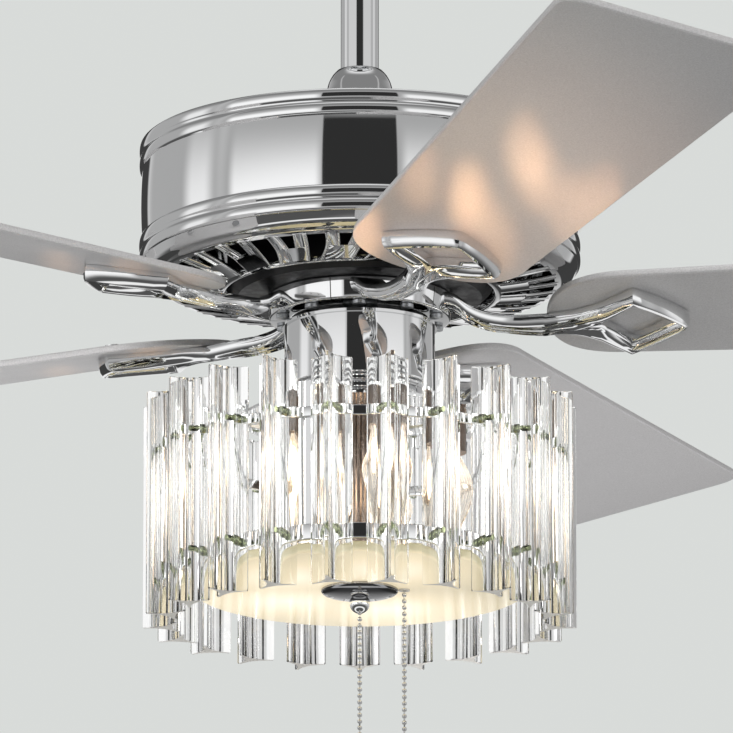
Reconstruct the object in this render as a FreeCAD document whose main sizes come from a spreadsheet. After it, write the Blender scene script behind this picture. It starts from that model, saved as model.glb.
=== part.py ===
import FreeCAD, Part
import math
import os
import re
import Sketcher

# Ceiling fan with a crystal drum light. Millimetres, +Z up, origin on the ceiling plane at the fan's axis.
# The fan hangs down to -Z, and the photograph's viewer stands on the -Y side.

doc = FreeCAD.newDocument("ceiling_fan")
sheet = doc.addObject("Spreadsheet::Sheet", "sizes")
Vector = FreeCAD.Vector

# Driving dimensions, one cell each
SIZES = [
    # Shared by several pieces
    ("metal_wall", 1.2),
    ("running_gap", 0.05),
    ("free_gap", 0.5),
    ("overrun", 2),
    # Ceiling bracket and canopy
    ("bracket_half_length", 68),
    ("bracket_half_width", 18),
    ("bracket_plate", 2.5),
    ("bracket_tab", 16),
    ("slot_spacing", 88.9),
    ("slot_length", 20),
    ("slot_radius", 3),
    ("seat_half_span", 32.5),
    ("seat_thickness", 8),
    ("seat_drop", 14),
    ("canopy_radius", 72),
    ("canopy_skirt", 16),
    ("canopy_height", 66),
    ("canopy_shoulder_radius", 58),
    ("canopy_shoulder_drop", 46),
    ("canopy_neck_radius", 34),
    ("canopy_hole_radius", 25),
    ("canopy_round", 9),
    ("canopy_screw_drop", 10),
    ("canopy_screw_radius", 2),
    ("canopy_screw_head_radius", 4),
    ("canopy_screw_head", 2.5),
    ("canopy_screw_count", 2),
    # Hanger ball and downrod
    ("ball_radius", 22.5),
    ("ball_drop", 38),
    ("ball_above", 15),
    ("ball_below", 18),
    ("ball_pin_radius", 3.2),
    ("ball_pin_length", 43),
    ("downrod_radius", 13),
    ("downrod_wall", 2),
    ("downrod_above_ball", 20),
    ("rim_drop", 210),
    # Yoke and coupling cover, heights above the housing's rim
    ("yoke_radius", 19),
    ("yoke_rise", 38),
    ("yoke_floor_rise", 14),
    ("yoke_foot_rise", 2),
    ("flange_radius", 46),
    ("flange_rise", 10),
    ("flange_thickness", 4),
    ("yoke_pin_radius", 3),
    ("yoke_pin_rise", 24),
    ("yoke_pin_length", 44),
    ("set_screw_radius", 2.5),
    ("set_screw_rise", 33),
    ("set_screw_count", 2),
    ("set_screw_proud", 1.5),
    ("cover_rise", 52.5),
    ("cover_neck_radius", 16.8),
    ("cover_shoulder_radius", 21.4),
    ("cover_shoulder_rise", 46.5),
    ("cover_waist_radius", 23.6),
    ("cover_waist_rise", 33),
    ("cover_skirt_radius", 28.5),
    ("cover_skirt_rise", 24),
    ("cover_foot_radius", 48),
    ("cover_round", 4),
    # Motor housing
    ("housing_radius", 148),
    ("ridge_out", 2),
    ("ridge_height", 8),
    ("ridge_gap", 1.6),
    ("ridge_round", 1.7),
    ("band_height", 84),
    ("top_flat_radius", 60),
    ("top_lip", 10),
    ("cove_step", 8),
    ("cove_drop", 92.5),
    ("cove_slope", 2.5),
    ("vent_outer_drop", 94.5),
    ("vent_inner_gap", 9),
    ("vent_rise", 2),
    ("vent_count", 20),
    ("vent_start_width", 7),
    ("vent_end_width", 13),
    ("vent_short_start_width", 5),
    ("vent_short_end_width", 10),
    ("vent_short_share", 0.5),
    ("vent_margin", 4.5),
    ("vent_curve", 60),
    ("vent_lean_share", 0.3333),
    ("housing_screw_circle", 36),
    ("housing_screw_count", 4),
    ("housing_screw_radius", 2),
    ("housing_screw_head_radius", 3.8),
    ("housing_screw_head", 2.4),
    # Motor, heights below the housing's rim
    ("shaft_radius", 8.5),
    ("shaft_bore_radius", 5.5),
    ("shaft_end_drop", 142),
    ("bearing_radius", 17.5),
    ("bearing_height", 10),
    ("upper_bearing_drop", 9),
    ("lower_bearing_drop", 92),
    ("stator_radius", 65.5),
    ("stator_drop", 44),
    ("stator_height", 24),
    ("tooth_count", 12),
    ("winding_inner_radius", 30),
    ("winding_outer_radius", 58),
    ("winding_half_width", 4.5),
    ("winding_overhang", 10),
    ("rotor_radius", 90),
    ("rotor_wall", 3),
    ("rotor_top_drop", 6),
    ("rotor_crown", 14),
    ("rotor_hub_radius", 30),
    ("rotor_hub_height", 15),
    ("rotor_joint_drop", 56),
    ("rotor_bottom_drop", 106),
    ("rotor_floor", 6),
    ("rotor_chamfer", 7),
    ("spacer_radius", 11.5),
    ("nut_radius", 14),
    ("nut_height", 8),
    # Blade irons and blades
    ("blade_count", 5),
    ("rotor_phase", -0.5),
    ("foot_inner_radius", 46),
    ("foot_outer_radius", 63),
    ("foot_height", 16),
    ("foot_gap_angle", 0.6),
    ("foot_round", 2),
    ("arm_half_width", 8),
    ("arm_thickness", 9),
    ("arm_dip_radius", 122),
    ("arm_dip_drop", 132),
    ("loop_start", 146),
    ("loop_corner", 187),
    ("loop_half_width", 42),
    ("loop_end", 227),
    ("loop_bar", 9),
    ("bar_across", 13),
    ("bar_along", 19),
    ("loop_thickness", 8),
    ("loop_round", 7),
    ("loop_inner_round", 4),
    ("blade_pitch", 11.2),
    ("blade_rise_angle", 2.1),
    ("blade_axis_drop", 122),
    ("blade_root", 127),
    ("blade_tip", 658),
    ("blade_root_half_width", 57),
    ("blade_tip_half_width", 78),
    ("blade_thickness", 5),
    ("blade_root_round", 44),
    ("blade_tip_round", 18),
    ("blade_screw_radius", 2.4),
    ("blade_screw_head_radius", 4.6),
    ("blade_screw_head", 2.6),
    ("blade_screw_depth", 5),
    ("iron_screw_half_angle", 18),
    ("iron_screw_radius", 2.4),
    ("iron_screw_head_radius", 4.5),
    ("iron_screw_head", 2.2),
    ("iron_screw_bite", 5),
    # Switch housing and what it holds
    ("switch_plate_drop", 126),
    ("switch_plate_radius", 52.5),
    ("switch_plate_thickness", 2),
    ("switch_radius", 51),
    ("switch_height", 43),
    ("switch_lip_radius", 41),
    ("switch_round", 2.5),
    ("pull_switch_width", 15),
    ("pull_switch_length", 24),
    ("pull_switch_height", 17),
    ("nozzle_radius", 4),
    ("nozzle_length", 4),
    ("capacitor_width", 12),
    ("capacitor_length", 40),
    ("capacitor_height", 20),
    ("capacitor_offset", 27),
    # Light kit
    ("hub_radius", 47),
    ("hub_flange", 3),
    ("ring_radius", 40),
    ("ring_height", 4),
    ("groove_radius", 36.5),
    ("groove_height", 2),
    ("hub_screw_circle", 44),
    ("hub_screw_count", 3),
    ("hub_screw_radius", 1.6),
    ("hub_screw_head_radius", 2.8),
    ("hub_screw_head", 1.8),
    ("plate_radius", 80),
    ("plate_thickness", 2),
    ("strap_inner_radius", 70),
    ("strap_thickness", 2),
    ("strap_angle", 5),
    ("band_wall", 2.5),
    ("upper_band_drop", 210),
    ("upper_band_height", 7),
    ("lower_band_drop", 290.3),
    ("lower_band_height", 10.5),
    ("lamp_count", 5),
    ("lamp_circle", 60),
    ("socket_radius", 12),
    ("socket_height", 22),
    ("socket_wall", 4),
    ("cap_radius", 6.2),
    ("bulb_radius", 17),
    ("bulb_neck_radius", 8),
    ("bulb_length", 58),
    ("bulb_tip_radius", 2.5),
    ("bulb_neck", 3),
    ("bulb_belly_share", 0.38),
    ("bulb_shoulder_curve", 26),
    ("bulb_flame_curve", 62),
    ("stem_radius", 5),
    ("chain_bore_radius", 2.2),
    # Crystal drum
    ("prism_count", 21),
    ("prism_drop", 179.3),
    ("prism_length", 153.4),
    ("prism_centre_radius", 131.2),
    ("prism_standoff", 12.2),
    ("prism_corner_radius", 15.4),
    ("prism_corner_flat", 2.4),
    ("prism_side_radius", 22),
    ("pin_radius", 2),
    # Disc, finial and pull chains
    ("disc_margin", 0.6),
    ("disc_thickness", 7),
    ("disc_drop", 301.6),
    ("disc_round", 2),
    ("grommet_hole_radius", 3),
    ("grommet_flange_radius", 3.8),
    ("grommet_flange", 1),
    ("dish_radius", 26),
    ("dish_depth", 5.5),
    ("dish_edge", 1.6),
    ("dish_neck_radius", 8),
    ("dish_curve", 34),
    ("finial_ball_radius", 6.7),
    ("finial_neck", 0.5),
    ("finial_neck_radius", 5.6),
    ("stem_grip", 5),
    ("chain_radius", 1.6),
    ("chain_offset", 30),
    ("chain_end_drop", 448),
    ("fan_chain_extra", 6),
    ("knob_radius", 5),
    ("knob_length", 18),
    ("knob_waist_radius", 3),
    ("knob_belly_share", 0.62),
]

for row, (alias, value) in enumerate(SIZES, start=1):
    sheet.set("A%d" % row, alias.replace("_", " "))
    sheet.set("B%d" % row, str(value))
    sheet.setAlias("B%d" % row, alias)
doc.recompute()

# Heights on the axis, and radii that follow another piece, each worked out from the driving dimensions
LEVELS = {
    "cove_radius": "housing_radius - cove_step",
    "vent_outer_radius": "cove_radius - cove_slope",
    "vent_inner_radius": "rotor_radius - rotor_chamfer + vent_inner_gap",
    "vent_inner_drop": "rotor_bottom_drop - vent_rise",
    "vent_lean": "vent_lean_share * (vent_outer_radius - vent_inner_radius - 2 * vent_margin)",
    "iron_screw_circle": "(foot_inner_radius + foot_outer_radius) / 2",
    "band_radius": "prism_centre_radius - prism_standoff",
    "strap_outer": "band_radius - band_wall",
    "strap_inner": "strap_outer - strap_thickness",
    "disc_radius": "strap_inner - disc_margin",
    "ball_level": "-ball_drop",
    "seat_bottom": "ball_level - seat_drop",
    "rim_level": "-rim_drop",
    "flange_top": "rim_level + flange_rise",
    "top_face": "flange_top + metal_wall",
    "yoke_floor": "rim_level + yoke_floor_rise",
    "yoke_pin_level": "rim_level + yoke_pin_rise",
    "set_screw_level": "rim_level + set_screw_rise",
    "band_bottom": "rim_level - band_height",
    "upper_bearing_top": "rim_level - upper_bearing_drop",
    "lower_bearing_top": "rim_level - lower_bearing_drop",
    "lower_bearing_bottom": "lower_bearing_top - bearing_height",
    "stator_top": "rim_level - stator_drop",
    "stator_bottom": "stator_top - stator_height",
    "rotor_top": "rim_level - rotor_top_drop",
    "rotor_joint": "rim_level - rotor_joint_drop",
    "rotor_bottom": "rim_level - rotor_bottom_drop",
    "foot_bottom": "rotor_bottom - foot_height",
    "arm_low": "rim_level - arm_dip_drop",
    "blade_level": "rim_level - blade_axis_drop",
    "switch_plate_top": "rim_level - switch_plate_drop",
    "switch_top": "switch_plate_top - switch_plate_thickness",
    "switch_bottom": "switch_top - switch_height",
    "switch_floor": "switch_bottom + metal_wall",
    "hub_rings_top": "switch_bottom - hub_flange",
    "hub_bottom": "hub_rings_top - 3 * ring_height - 2 * groove_height",
    "plate_bottom": "hub_bottom - plate_thickness",
    "socket_bottom": "plate_bottom - socket_height",
    "upper_band_top": "rim_level - upper_band_drop",
    "upper_band_middle": "upper_band_top - upper_band_height / 2",
    "lower_band_top": "rim_level - lower_band_drop",
    "lower_band_bottom": "lower_band_top - lower_band_height",
    "lower_band_middle": "lower_band_top - lower_band_height / 2",
    "prism_top": "rim_level - prism_drop",
    "prism_bottom": "prism_top - prism_length",
    "disc_top": "rim_level - disc_drop",
    "disc_bottom": "disc_top - disc_thickness",
    "dish_bottom": "disc_bottom - dish_depth",
    "finial_centre": "dish_bottom - finial_neck - finial_ball_radius",
    "stem_top": "switch_bottom - nozzle_length",
    "stem_bottom": "dish_bottom - stem_grip",
    "chain_top": "switch_bottom - nozzle_length",
    "light_chain_end": "rim_level - chain_end_drop",
    "fan_chain_end": "light_chain_end - fan_chain_extra",
}
ALIASES = {alias for alias, value in SIZES}
WORD = re.compile(r"[a-z][a-z_]+")


def expand(text):
    """Write a size expression in full, with each level worked out and each alias under the sheet's name."""
    def spell(match):
        word = match.group()
        if word in LEVELS:
            return "(" + expand(LEVELS[word]) + ")"
        return "sizes." + word if word in ALIASES else word
    return WORD.sub(spell, text)


def size(text):
    """The value of a size expression, in millimetres or degrees."""
    return float(sheet.evalExpression(expand(text)))


def new_body(label):
    """An empty sub-part under its own name."""
    body = doc.addObject("PartDesign::Body", label)
    body.Label = label
    return body


def origin_feature(body, role):
    """One of a body's own origin planes or axes."""
    return next(item for item in body.Origin.OriginFeatures if item.Role == role)


def blade_frame():
    """Where a blade's own plane lies: pitched about its length, and rising outwards from the fan's axis."""
    rise = FreeCAD.Rotation(Vector(0, -1, 0), size("blade_rise_angle"))
    pitch = FreeCAD.Rotation(Vector(-1, 0, 0), size("blade_pitch"))
    return FreeCAD.Placement(Vector(0, 0, size("blade_level")), rise * pitch)


def new_sketch(body, role, offset="0"):
    """A sketch on one of the body's origin planes, moved along the plane's normal by a size expression.

    The role blade_plane stands for the pitched plane of the blade that lies along +X.
    """
    sketch = body.newObject("Sketcher::SketchObject", body.Name + "_sketch")
    pitched = role == "blade_plane"
    sketch.AttachmentSupport = [(origin_feature(body, "XY_Plane" if pitched else role), "")]
    sketch.MapMode = "FlatFace"
    if pitched:
        lift = FreeCAD.Placement(Vector(0, 0, size(offset)), FreeCAD.Rotation())
        sketch.AttachmentOffset = blade_frame() * lift
    else:
        sketch.setExpression("AttachmentOffset.Base.z", expand(offset))
    return sketch


def bind_place(sketch, geometry, position, x_text, y_text):
    """Fix one point of a sketch at a place given by two size expressions."""
    for kind, text, axis in (("DistanceX", x_text, -2), ("DistanceY", y_text, -1)):
        if text == "0":
            sketch.addConstraint(Sketcher.Constraint("PointOnObject", geometry, position, axis))
            continue
        index = sketch.addConstraint(Sketcher.Constraint(kind, -1, 1, geometry, position, size(text)))
        sketch.setExpression("Constraints[%d]" % index, expand(text))


def arc_between(start, end, radius, side):
    """The minor arc between two points, bulging to the left (side 1) or right (side -1) of the way."""
    chord = end - start
    sagitta_side = Vector(-chord.y, chord.x, 0).normalize() * side
    rise = math.sqrt(max(radius ** 2 - chord.Length ** 2 / 4, 0))
    centre = (start + end) / 2 - sagitta_side * rise
    first, last = (start, end) if side < 0 else (end, start)
    angles = [math.atan2(point.y - centre.y, point.x - centre.x) for point in (first, last)]
    circle = Part.Circle(centre, Vector(0, 0, 1), radius)
    return Part.ArcOfCircle(circle, angles[0], angles[1] if angles[1] > angles[0] else angles[1] + math.tau)


def draw_outline(sketch, corners):
    """A closed outline: corners (x, y), or (x, y, radius, side) where an arc leads to the next corner."""
    first = sketch.GeometryCount
    count = len(corners)
    points = [Vector(size(corner[0]), size(corner[1]), 0) for corner in corners]
    ends = []
    for index, corner in enumerate(corners):
        start, end = points[index], points[(index + 1) % count]
        if len(corner) == 2:
            sketch.addGeometry(Part.LineSegment(start, end), False)
            ends.append((1, 2))
        else:
            sketch.addGeometry(arc_between(start, end, size(corner[2]), corner[3]), False)
            ends.append((1, 2) if corner[3] < 0 else (2, 1))
    for index in range(count):
        following = (index + 1) % count
        sketch.addConstraint(Sketcher.Constraint(
            "Coincident", first + index, ends[index][1], first + following, ends[following][0]))
    for index, corner in enumerate(corners):
        bind_place(sketch, first + index, ends[index][0], corner[0], corner[1])
        if len(corner) > 2:
            radius = Sketcher.Constraint("Radius", first + index, size(corner[2]))
            sketch.setExpression("Constraints[%d]" % sketch.addConstraint(radius), expand(corner[2]))


def draw_circle(sketch, x_text, y_text, radius_text):
    """A circle at a bound place with a bound radius."""
    circle = Part.Circle(Vector(size(x_text), size(y_text), 0), Vector(0, 0, 1), size(radius_text))
    index = sketch.addGeometry(circle, False)
    bind_place(sketch, index, 3, x_text, y_text)
    radius = sketch.addConstraint(Sketcher.Constraint("Radius", index, size(radius_text)))
    sketch.setExpression("Constraints[%d]" % radius, expand(radius_text))


def draw_axis(sketch, x_text):
    """A vertical construction line to turn a profile about."""
    start = Vector(size(x_text), 0, 0)
    index = sketch.addGeometry(Part.LineSegment(start, start + Vector(0, size("overrun"), 0)), True)
    bind_place(sketch, index, 1, x_text, "0")
    sketch.addConstraint(Sketcher.Constraint("Vertical", index))


def rectangle(left, right, bottom, top):
    """The four corners of a rectangle from its side expressions."""
    return [(left, bottom), (right, bottom), (right, top), (left, top)]


def turn(body, *outlines, axis="0", angle=None):
    """Revolve outlines about the fan's axis, or about an upright line at another radius."""
    sketch = new_sketch(body, "XZ_Plane")
    for corners in outlines:
        draw_outline(sketch, corners)
    if axis != "0":
        draw_axis(sketch, axis)
    feature = body.newObject("PartDesign::Revolution", body.Name + "_turn")
    feature.Profile = sketch
    feature.ReferenceAxis = (sketch, ["V_Axis" if axis == "0" else "Axis0"])
    if angle is not None:
        feature.Midplane = True
        feature.setExpression("Angle", expand(angle))
    doc.recompute()
    return feature


def pad(body, role, offset, length, outlines, circles=(), both_ways=False, backwards=False):
    """Extrude outlines and circles from a plane of the body."""
    sketch = new_sketch(body, role, offset)
    for corners in outlines:
        draw_outline(sketch, corners)
    for place in circles:
        draw_circle(sketch, *place)
    feature = body.newObject("PartDesign::Pad", body.Name + "_pad")
    feature.Profile = sketch
    feature.setExpression("Length", expand(length))
    feature.Midplane = both_ways
    feature.Reversed = backwards
    doc.recompute()
    return feature


def cut(body, role, offset, length, outlines=(), circles=(), both_ways=False, backwards=False):
    """Pocket outlines and circles out of the body, against the plane's normal unless turned backwards."""
    sketch = new_sketch(body, role, offset)
    for corners in outlines:
        draw_outline(sketch, corners)
    for place in circles:
        draw_circle(sketch, *place)
    feature = body.newObject("PartDesign::Pocket", body.Name + "_pocket")
    feature.Profile = sketch
    feature.setExpression("Length", expand(length))
    feature.Midplane = both_ways
    feature.Reversed = backwards
    doc.recompute()
    return feature


def copy_round(body, count, features=None):
    """Repeat features, or the whole body, evenly about the fan's axis."""
    feature = body.newObject("PartDesign::PolarPattern", body.Name + "_ring")
    if features is None:
        feature.TransformMode = "Whole shape"
    else:
        feature.Originals = features
    feature.Axis = (origin_feature(body, "Z_Axis"), [""])
    feature.Angle = 360
    feature.setExpression("Occurrences", expand(count))
    body.Tip = feature
    doc.recompute()
    return feature


def round_edges(body, radius, chosen):
    """Fillet the edges of the body's tip that a test picks."""
    base = body.Tip
    names = ["Edge%d" % number for number, edge in enumerate(base.Shape.Edges, start=1) if chosen(edge)]
    feature = body.newObject("PartDesign::Fillet", body.Name + "_round")
    feature.Base = (base, names)
    feature.setExpression("Radius", expand(radius))
    body.Tip = feature
    doc.recompute()
    return feature


def circles_at(*places):
    """A test for the round edges that a turned profile's corners leave."""
    targets = [(size(radius), size(level)) for radius, level in places]

    def chosen(edge):
        if not isinstance(edge.Curve, Part.Circle):
            return False
        found = (edge.Curve.Radius, edge.Curve.Center.z)
        return any(math.dist(found, target) < TOLERANCE for target in targets)
    return chosen


def uprights_at(*places, frame=FreeCAD.Placement()):
    """A test for straight edges that stand square on a plane's outline, over some of its corners."""
    targets = [(size(x_text), size(y_text)) for x_text, y_text in places]
    square = frame.Rotation.multVec(Vector(0, 0, 1))

    def chosen(edge):
        if not isinstance(edge.Curve, Part.Line):
            return False
        if abs(edge.tangentAt(edge.FirstParameter).dot(square)) < 1 - TOLERANCE:
            return False
        point = frame.inverse().multVec(edge.Vertexes[0].Point)
        return any(math.dist((point.x, point.y), target) < TOLERANCE for target in targets)
    return chosen


TOLERANCE = 1e-4


def screw_profile(axis, shank, head, head_top, head_bottom, tip):
    """Half the section of a screw: a head between two levels and a shank to its tip."""
    return [(axis, head_top), (axis + " + " + head, head_top), (axis + " + " + head, head_bottom),
            (axis + " + " + shank, head_bottom), (axis + " + " + shank, tip), (axis, tip)]


# Ceiling bracket: a slotted strap with end tabs, and a stirrup whose floor is the hanger ball's seat
bracket = new_body("ceiling_bracket")
pad(bracket, "XY_Plane", "-bracket_plate", "bracket_plate",
    [rectangle("-bracket_half_length", "bracket_half_length", "-bracket_half_width", "bracket_half_width")])
for side in ("-", ""):
    tab = rectangle(side + "bracket_half_length", side + "(bracket_half_length - bracket_plate)",
                    "-bracket_half_width", "bracket_half_width")
    pad(bracket, "XY_Plane", "-bracket_tab", "bracket_tab", [tab])
    leg = rectangle(side + "seat_half_span", side + "(seat_half_span - bracket_plate)",
                    "-bracket_half_width", "bracket_half_width")
    pad(bracket, "XY_Plane", "seat_bottom", "-seat_bottom", [leg])
pad(bracket, "XY_Plane", "seat_bottom", "seat_thickness",
    [rectangle("-seat_half_span", "seat_half_span", "-bracket_half_width - bracket_plate",
               "bracket_half_width + bracket_plate")])
socket = new_sketch(bracket, "XZ_Plane")
draw_outline(socket, [("0", "ball_level - ball_radius - running_gap", "ball_radius + running_gap", -1),
                      ("ball_radius + running_gap", "ball_level"), ("0", "ball_level")])
groove = bracket.newObject("PartDesign::Groove", "ceiling_bracket_socket")
groove.Profile = socket
groove.ReferenceAxis = (socket, ["V_Axis"])
doc.recompute()
for side in ("-", ""):
    middle = side + "slot_spacing / 2"
    near, far = middle + " - slot_length / 2", middle + " + slot_length / 2"
    cut(bracket, "XY_Plane", "0", "bracket_plate",
        [[(near + " + slot_radius", "slot_radius", "slot_radius", -1), (near, "0", "slot_radius", -1),
          (near + " + slot_radius", "-slot_radius"), (far + " - slot_radius", "-slot_radius", "slot_radius", -1),
          (far, "0", "slot_radius", -1), (far + " - slot_radius", "slot_radius")]])
cut(bracket, "YZ_Plane", "0", "2 * bracket_half_length + overrun",
    circles=[("0", "-canopy_screw_drop", "canopy_screw_radius")], both_ways=True)

# Canopy: a spun bell whose rim meets the ceiling, open at its neck for the downrod to swing
canopy = new_body("canopy")
turn(canopy, [("canopy_radius - metal_wall", "0"), ("canopy_radius", "0"), ("canopy_radius", "-canopy_skirt"),
              ("canopy_shoulder_radius", "-canopy_shoulder_drop"), ("canopy_neck_radius", "-canopy_height"),
              ("canopy_hole_radius", "-canopy_height"), ("canopy_hole_radius", "metal_wall - canopy_height"),
              ("canopy_neck_radius - metal_wall", "metal_wall - canopy_height"),
              ("canopy_shoulder_radius - metal_wall", "metal_wall - canopy_shoulder_drop"),
              ("canopy_radius - metal_wall", "-canopy_skirt")])
cut(canopy, "YZ_Plane", "0", "2 * canopy_radius + overrun",
    circles=[("0", "-canopy_screw_drop", "canopy_screw_radius")], both_ways=True)
round_edges(canopy, "canopy_round", circles_at(
    ("canopy_radius", "-canopy_skirt"), ("canopy_shoulder_radius", "-canopy_shoulder_drop")))

# Canopy screws: one through each side of the bell into the bracket's tab
canopy_screws = new_body("canopy_screws")
pad(canopy_screws, "YZ_Plane", "bracket_half_length - bracket_plate - overrun",
    "canopy_radius - bracket_half_length + bracket_plate + overrun", [],
    [("0", "-canopy_screw_drop", "canopy_screw_radius")])
pad(canopy_screws, "YZ_Plane", "canopy_radius", "canopy_screw_head", [],
    [("0", "-canopy_screw_drop", "canopy_screw_head_radius")])
copy_round(canopy_screws, "canopy_screw_count")

# Hanger ball: sits in the bracket's seat and carries the downrod on a cross pin
ball = new_body("hanger_ball")
turn(ball, [("downrod_radius", "ball_level - ball_below"),
            ("sqrt(ball_radius ^ 2 - ball_below ^ 2)", "ball_level - ball_below", "ball_radius", -1),
            ("sqrt(ball_radius ^ 2 - ball_above ^ 2)", "ball_level + ball_above"),
            ("downrod_radius", "ball_level + ball_above")])
cut(ball, "YZ_Plane", "0", "2 * ball_radius + overrun",
    circles=[("0", "ball_level", "ball_pin_radius")], both_ways=True)

ball_pin = new_body("ball_pin")
pad(ball_pin, "YZ_Plane", "0", "ball_pin_length", [], [("0", "ball_level", "ball_pin_radius")], both_ways=True)

# Downrod: a tube from the hanger ball to the yoke's floor, cross drilled for both pins
downrod = new_body("downrod")
turn(downrod, rectangle("downrod_radius - downrod_wall", "downrod_radius",
                        "yoke_floor", "ball_level + downrod_above_ball"))
cut(downrod, "YZ_Plane", "0", "2 * downrod_radius + overrun", both_ways=True,
    circles=[("0", "ball_level", "ball_pin_radius"), ("0", "yoke_pin_level", "yoke_pin_radius")])

# Yoke: a socket for the downrod over the motor shaft's end, with a flange that carries the housing
yoke = new_body("yoke")
turn(yoke, [("shaft_radius", "rim_level + yoke_foot_rise"), ("yoke_radius", "rim_level + yoke_foot_rise"),
            ("yoke_radius", "flange_top - flange_thickness"), ("flange_radius", "flange_top - flange_thickness"),
            ("flange_radius", "flange_top"), ("yoke_radius", "flange_top"),
            ("yoke_radius", "rim_level + yoke_rise"), ("downrod_radius", "rim_level + yoke_rise"),
            ("downrod_radius", "yoke_floor"), ("shaft_radius", "yoke_floor")])
cut(yoke, "YZ_Plane", "0", "2 * yoke_radius + overrun", both_ways=True,
    circles=[("0", "yoke_pin_level", "yoke_pin_radius")])
cut(yoke, "XZ_Plane", "0", "2 * yoke_radius + overrun", both_ways=True,
    circles=[("0", "set_screw_level", "set_screw_radius")])
yoke_holes = cut(yoke, "XY_Plane", "flange_top", "flange_thickness",
                 circles=[("housing_screw_circle", "0", "housing_screw_radius")])
copy_round(yoke, "housing_screw_count", [yoke_holes])

yoke_pin = new_body("yoke_pin")
pad(yoke_pin, "YZ_Plane", "0", "yoke_pin_length", [], [("0", "yoke_pin_level", "yoke_pin_radius")],
    both_ways=True)

set_screws = new_body("yoke_set_screws")
pad(set_screws, "XZ_Plane", "downrod_radius", "yoke_radius - downrod_radius + set_screw_proud", [],
    [("0", "set_screw_level", "set_screw_radius")])
copy_round(set_screws, "set_screw_count")

# Coupling cover: a bell over the yoke that slides up the downrod, standing on the housing's top
cover = new_body("coupling_cover")
turn(cover, [("downrod_radius + free_gap", "rim_level + cover_rise"),
             ("cover_neck_radius", "rim_level + cover_rise"),
             ("cover_shoulder_radius", "rim_level + cover_shoulder_rise"),
             ("cover_waist_radius", "rim_level + cover_waist_rise"),
             ("cover_skirt_radius", "rim_level + cover_skirt_rise"),
             ("cover_foot_radius", "top_face"),
             ("cover_foot_radius - 2 * metal_wall", "top_face"),
             ("cover_skirt_radius - metal_wall", "rim_level + cover_skirt_rise - metal_wall / 2"),
             ("cover_waist_radius - metal_wall", "rim_level + cover_waist_rise - metal_wall / 2"),
             ("cover_shoulder_radius - metal_wall", "rim_level + cover_shoulder_rise - metal_wall"),
             ("downrod_radius + free_gap", "rim_level + cover_rise - metal_wall")])
round_edges(cover, "cover_round", circles_at(
    ("cover_shoulder_radius", "rim_level + cover_shoulder_rise"),
    ("cover_waist_radius", "rim_level + cover_waist_rise"),
    ("cover_skirt_radius", "rim_level + cover_skirt_rise")))

# Housing top: a low dome with a flat centre that lies on the yoke's flange
housing_top = new_body("housing_top")
turn(housing_top, [("yoke_radius + free_gap", "flange_top"), ("yoke_radius + free_gap", "top_face"),
                   ("top_flat_radius", "top_face"), ("housing_radius - metal_wall", "rim_level"),
                   ("housing_radius - metal_wall", "rim_level - top_lip"),
                   ("housing_radius - 2 * metal_wall", "rim_level - top_lip"),
                   ("housing_radius - 2 * metal_wall", "rim_level - metal_wall"),
                   ("top_flat_radius", "flange_top")])
top_holes = cut(housing_top, "XY_Plane", "top_face", "metal_wall",
                circles=[("housing_screw_circle", "0", "housing_screw_radius")])
copy_round(housing_top, "housing_screw_count", [top_holes])

# Housing screws: through the housing's top into the yoke's flange, under the coupling cover
housing_screws = new_body("housing_screws")
turn(housing_screws,
     screw_profile("housing_screw_circle", "housing_screw_radius", "housing_screw_head_radius",
                   "top_face + housing_screw_head", "top_face", "flange_top - flange_thickness"),
     axis="housing_screw_circle")
copy_round(housing_screws, "housing_screw_count")

# Housing band: a spun wall with two rolled ridges at its top and two at its bottom
ridge_radius = "housing_radius + ridge_out"
ridge_levels = []
for end, sign in (("rim_level", "-"), ("band_bottom", "+")):
    inner_start = "%s %s (ridge_height + ridge_gap)" % (end, sign)
    ridge_levels.append([end, "%s %s ridge_height" % (end, sign), inner_start,
                         "%s %s ridge_height" % (inner_start, sign)])
top_ridges, bottom_ridges = ridge_levels
wall_side = []
for outer, inner in ((top_ridges, False), (bottom_ridges[::-1], True)):
    wall_side += [(ridge_radius, outer[0]), (ridge_radius, outer[1]), ("housing_radius", outer[1]),
                  ("housing_radius", outer[2]), (ridge_radius, outer[2]), (ridge_radius, outer[3])]
    if not inner:
        wall_side.append(("housing_radius", outer[3]))
        wall_side.append(("housing_radius", bottom_ridges[3]))
band = new_body("housing_band")
turn(band, wall_side + [("housing_radius - metal_wall", "band_bottom"), ("housing_radius - metal_wall", "rim_level")])
round_edges(band, "ridge_round", circles_at(*[(ridge_radius, level) for level in top_ridges + bottom_ridges]))

# Housing bottom: a cove under the band, then a slope of long and short vents around the motor's black underside
housing_bottom = new_body("housing_bottom")
turn(housing_bottom, [("housing_radius", "band_bottom"), ("cove_radius", "rim_level - cove_drop"),
                      ("vent_outer_radius", "rim_level - vent_outer_drop"),
                      ("vent_inner_radius", "rim_level - vent_inner_drop"),
                      ("vent_inner_radius", "rim_level - vent_inner_drop + metal_wall"),
                      ("vent_outer_radius", "rim_level - vent_outer_drop + metal_wall"),
                      ("cove_radius", "rim_level - cove_drop + metal_wall"),
                      ("housing_radius - 2 * metal_wall", "band_bottom + metal_wall"),
                      ("housing_radius - 2 * metal_wall", "band_bottom + top_lip"),
                      ("housing_radius - metal_wall", "band_bottom + top_lip"),
                      ("housing_radius - metal_wall", "band_bottom")])
vent_start = "vent_inner_radius + vent_margin"
vent_end = "vent_outer_radius - vent_margin"
short_start = "(%s + vent_short_share * (%s - (%s)))" % (vent_start, vent_end, vent_start)


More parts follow.
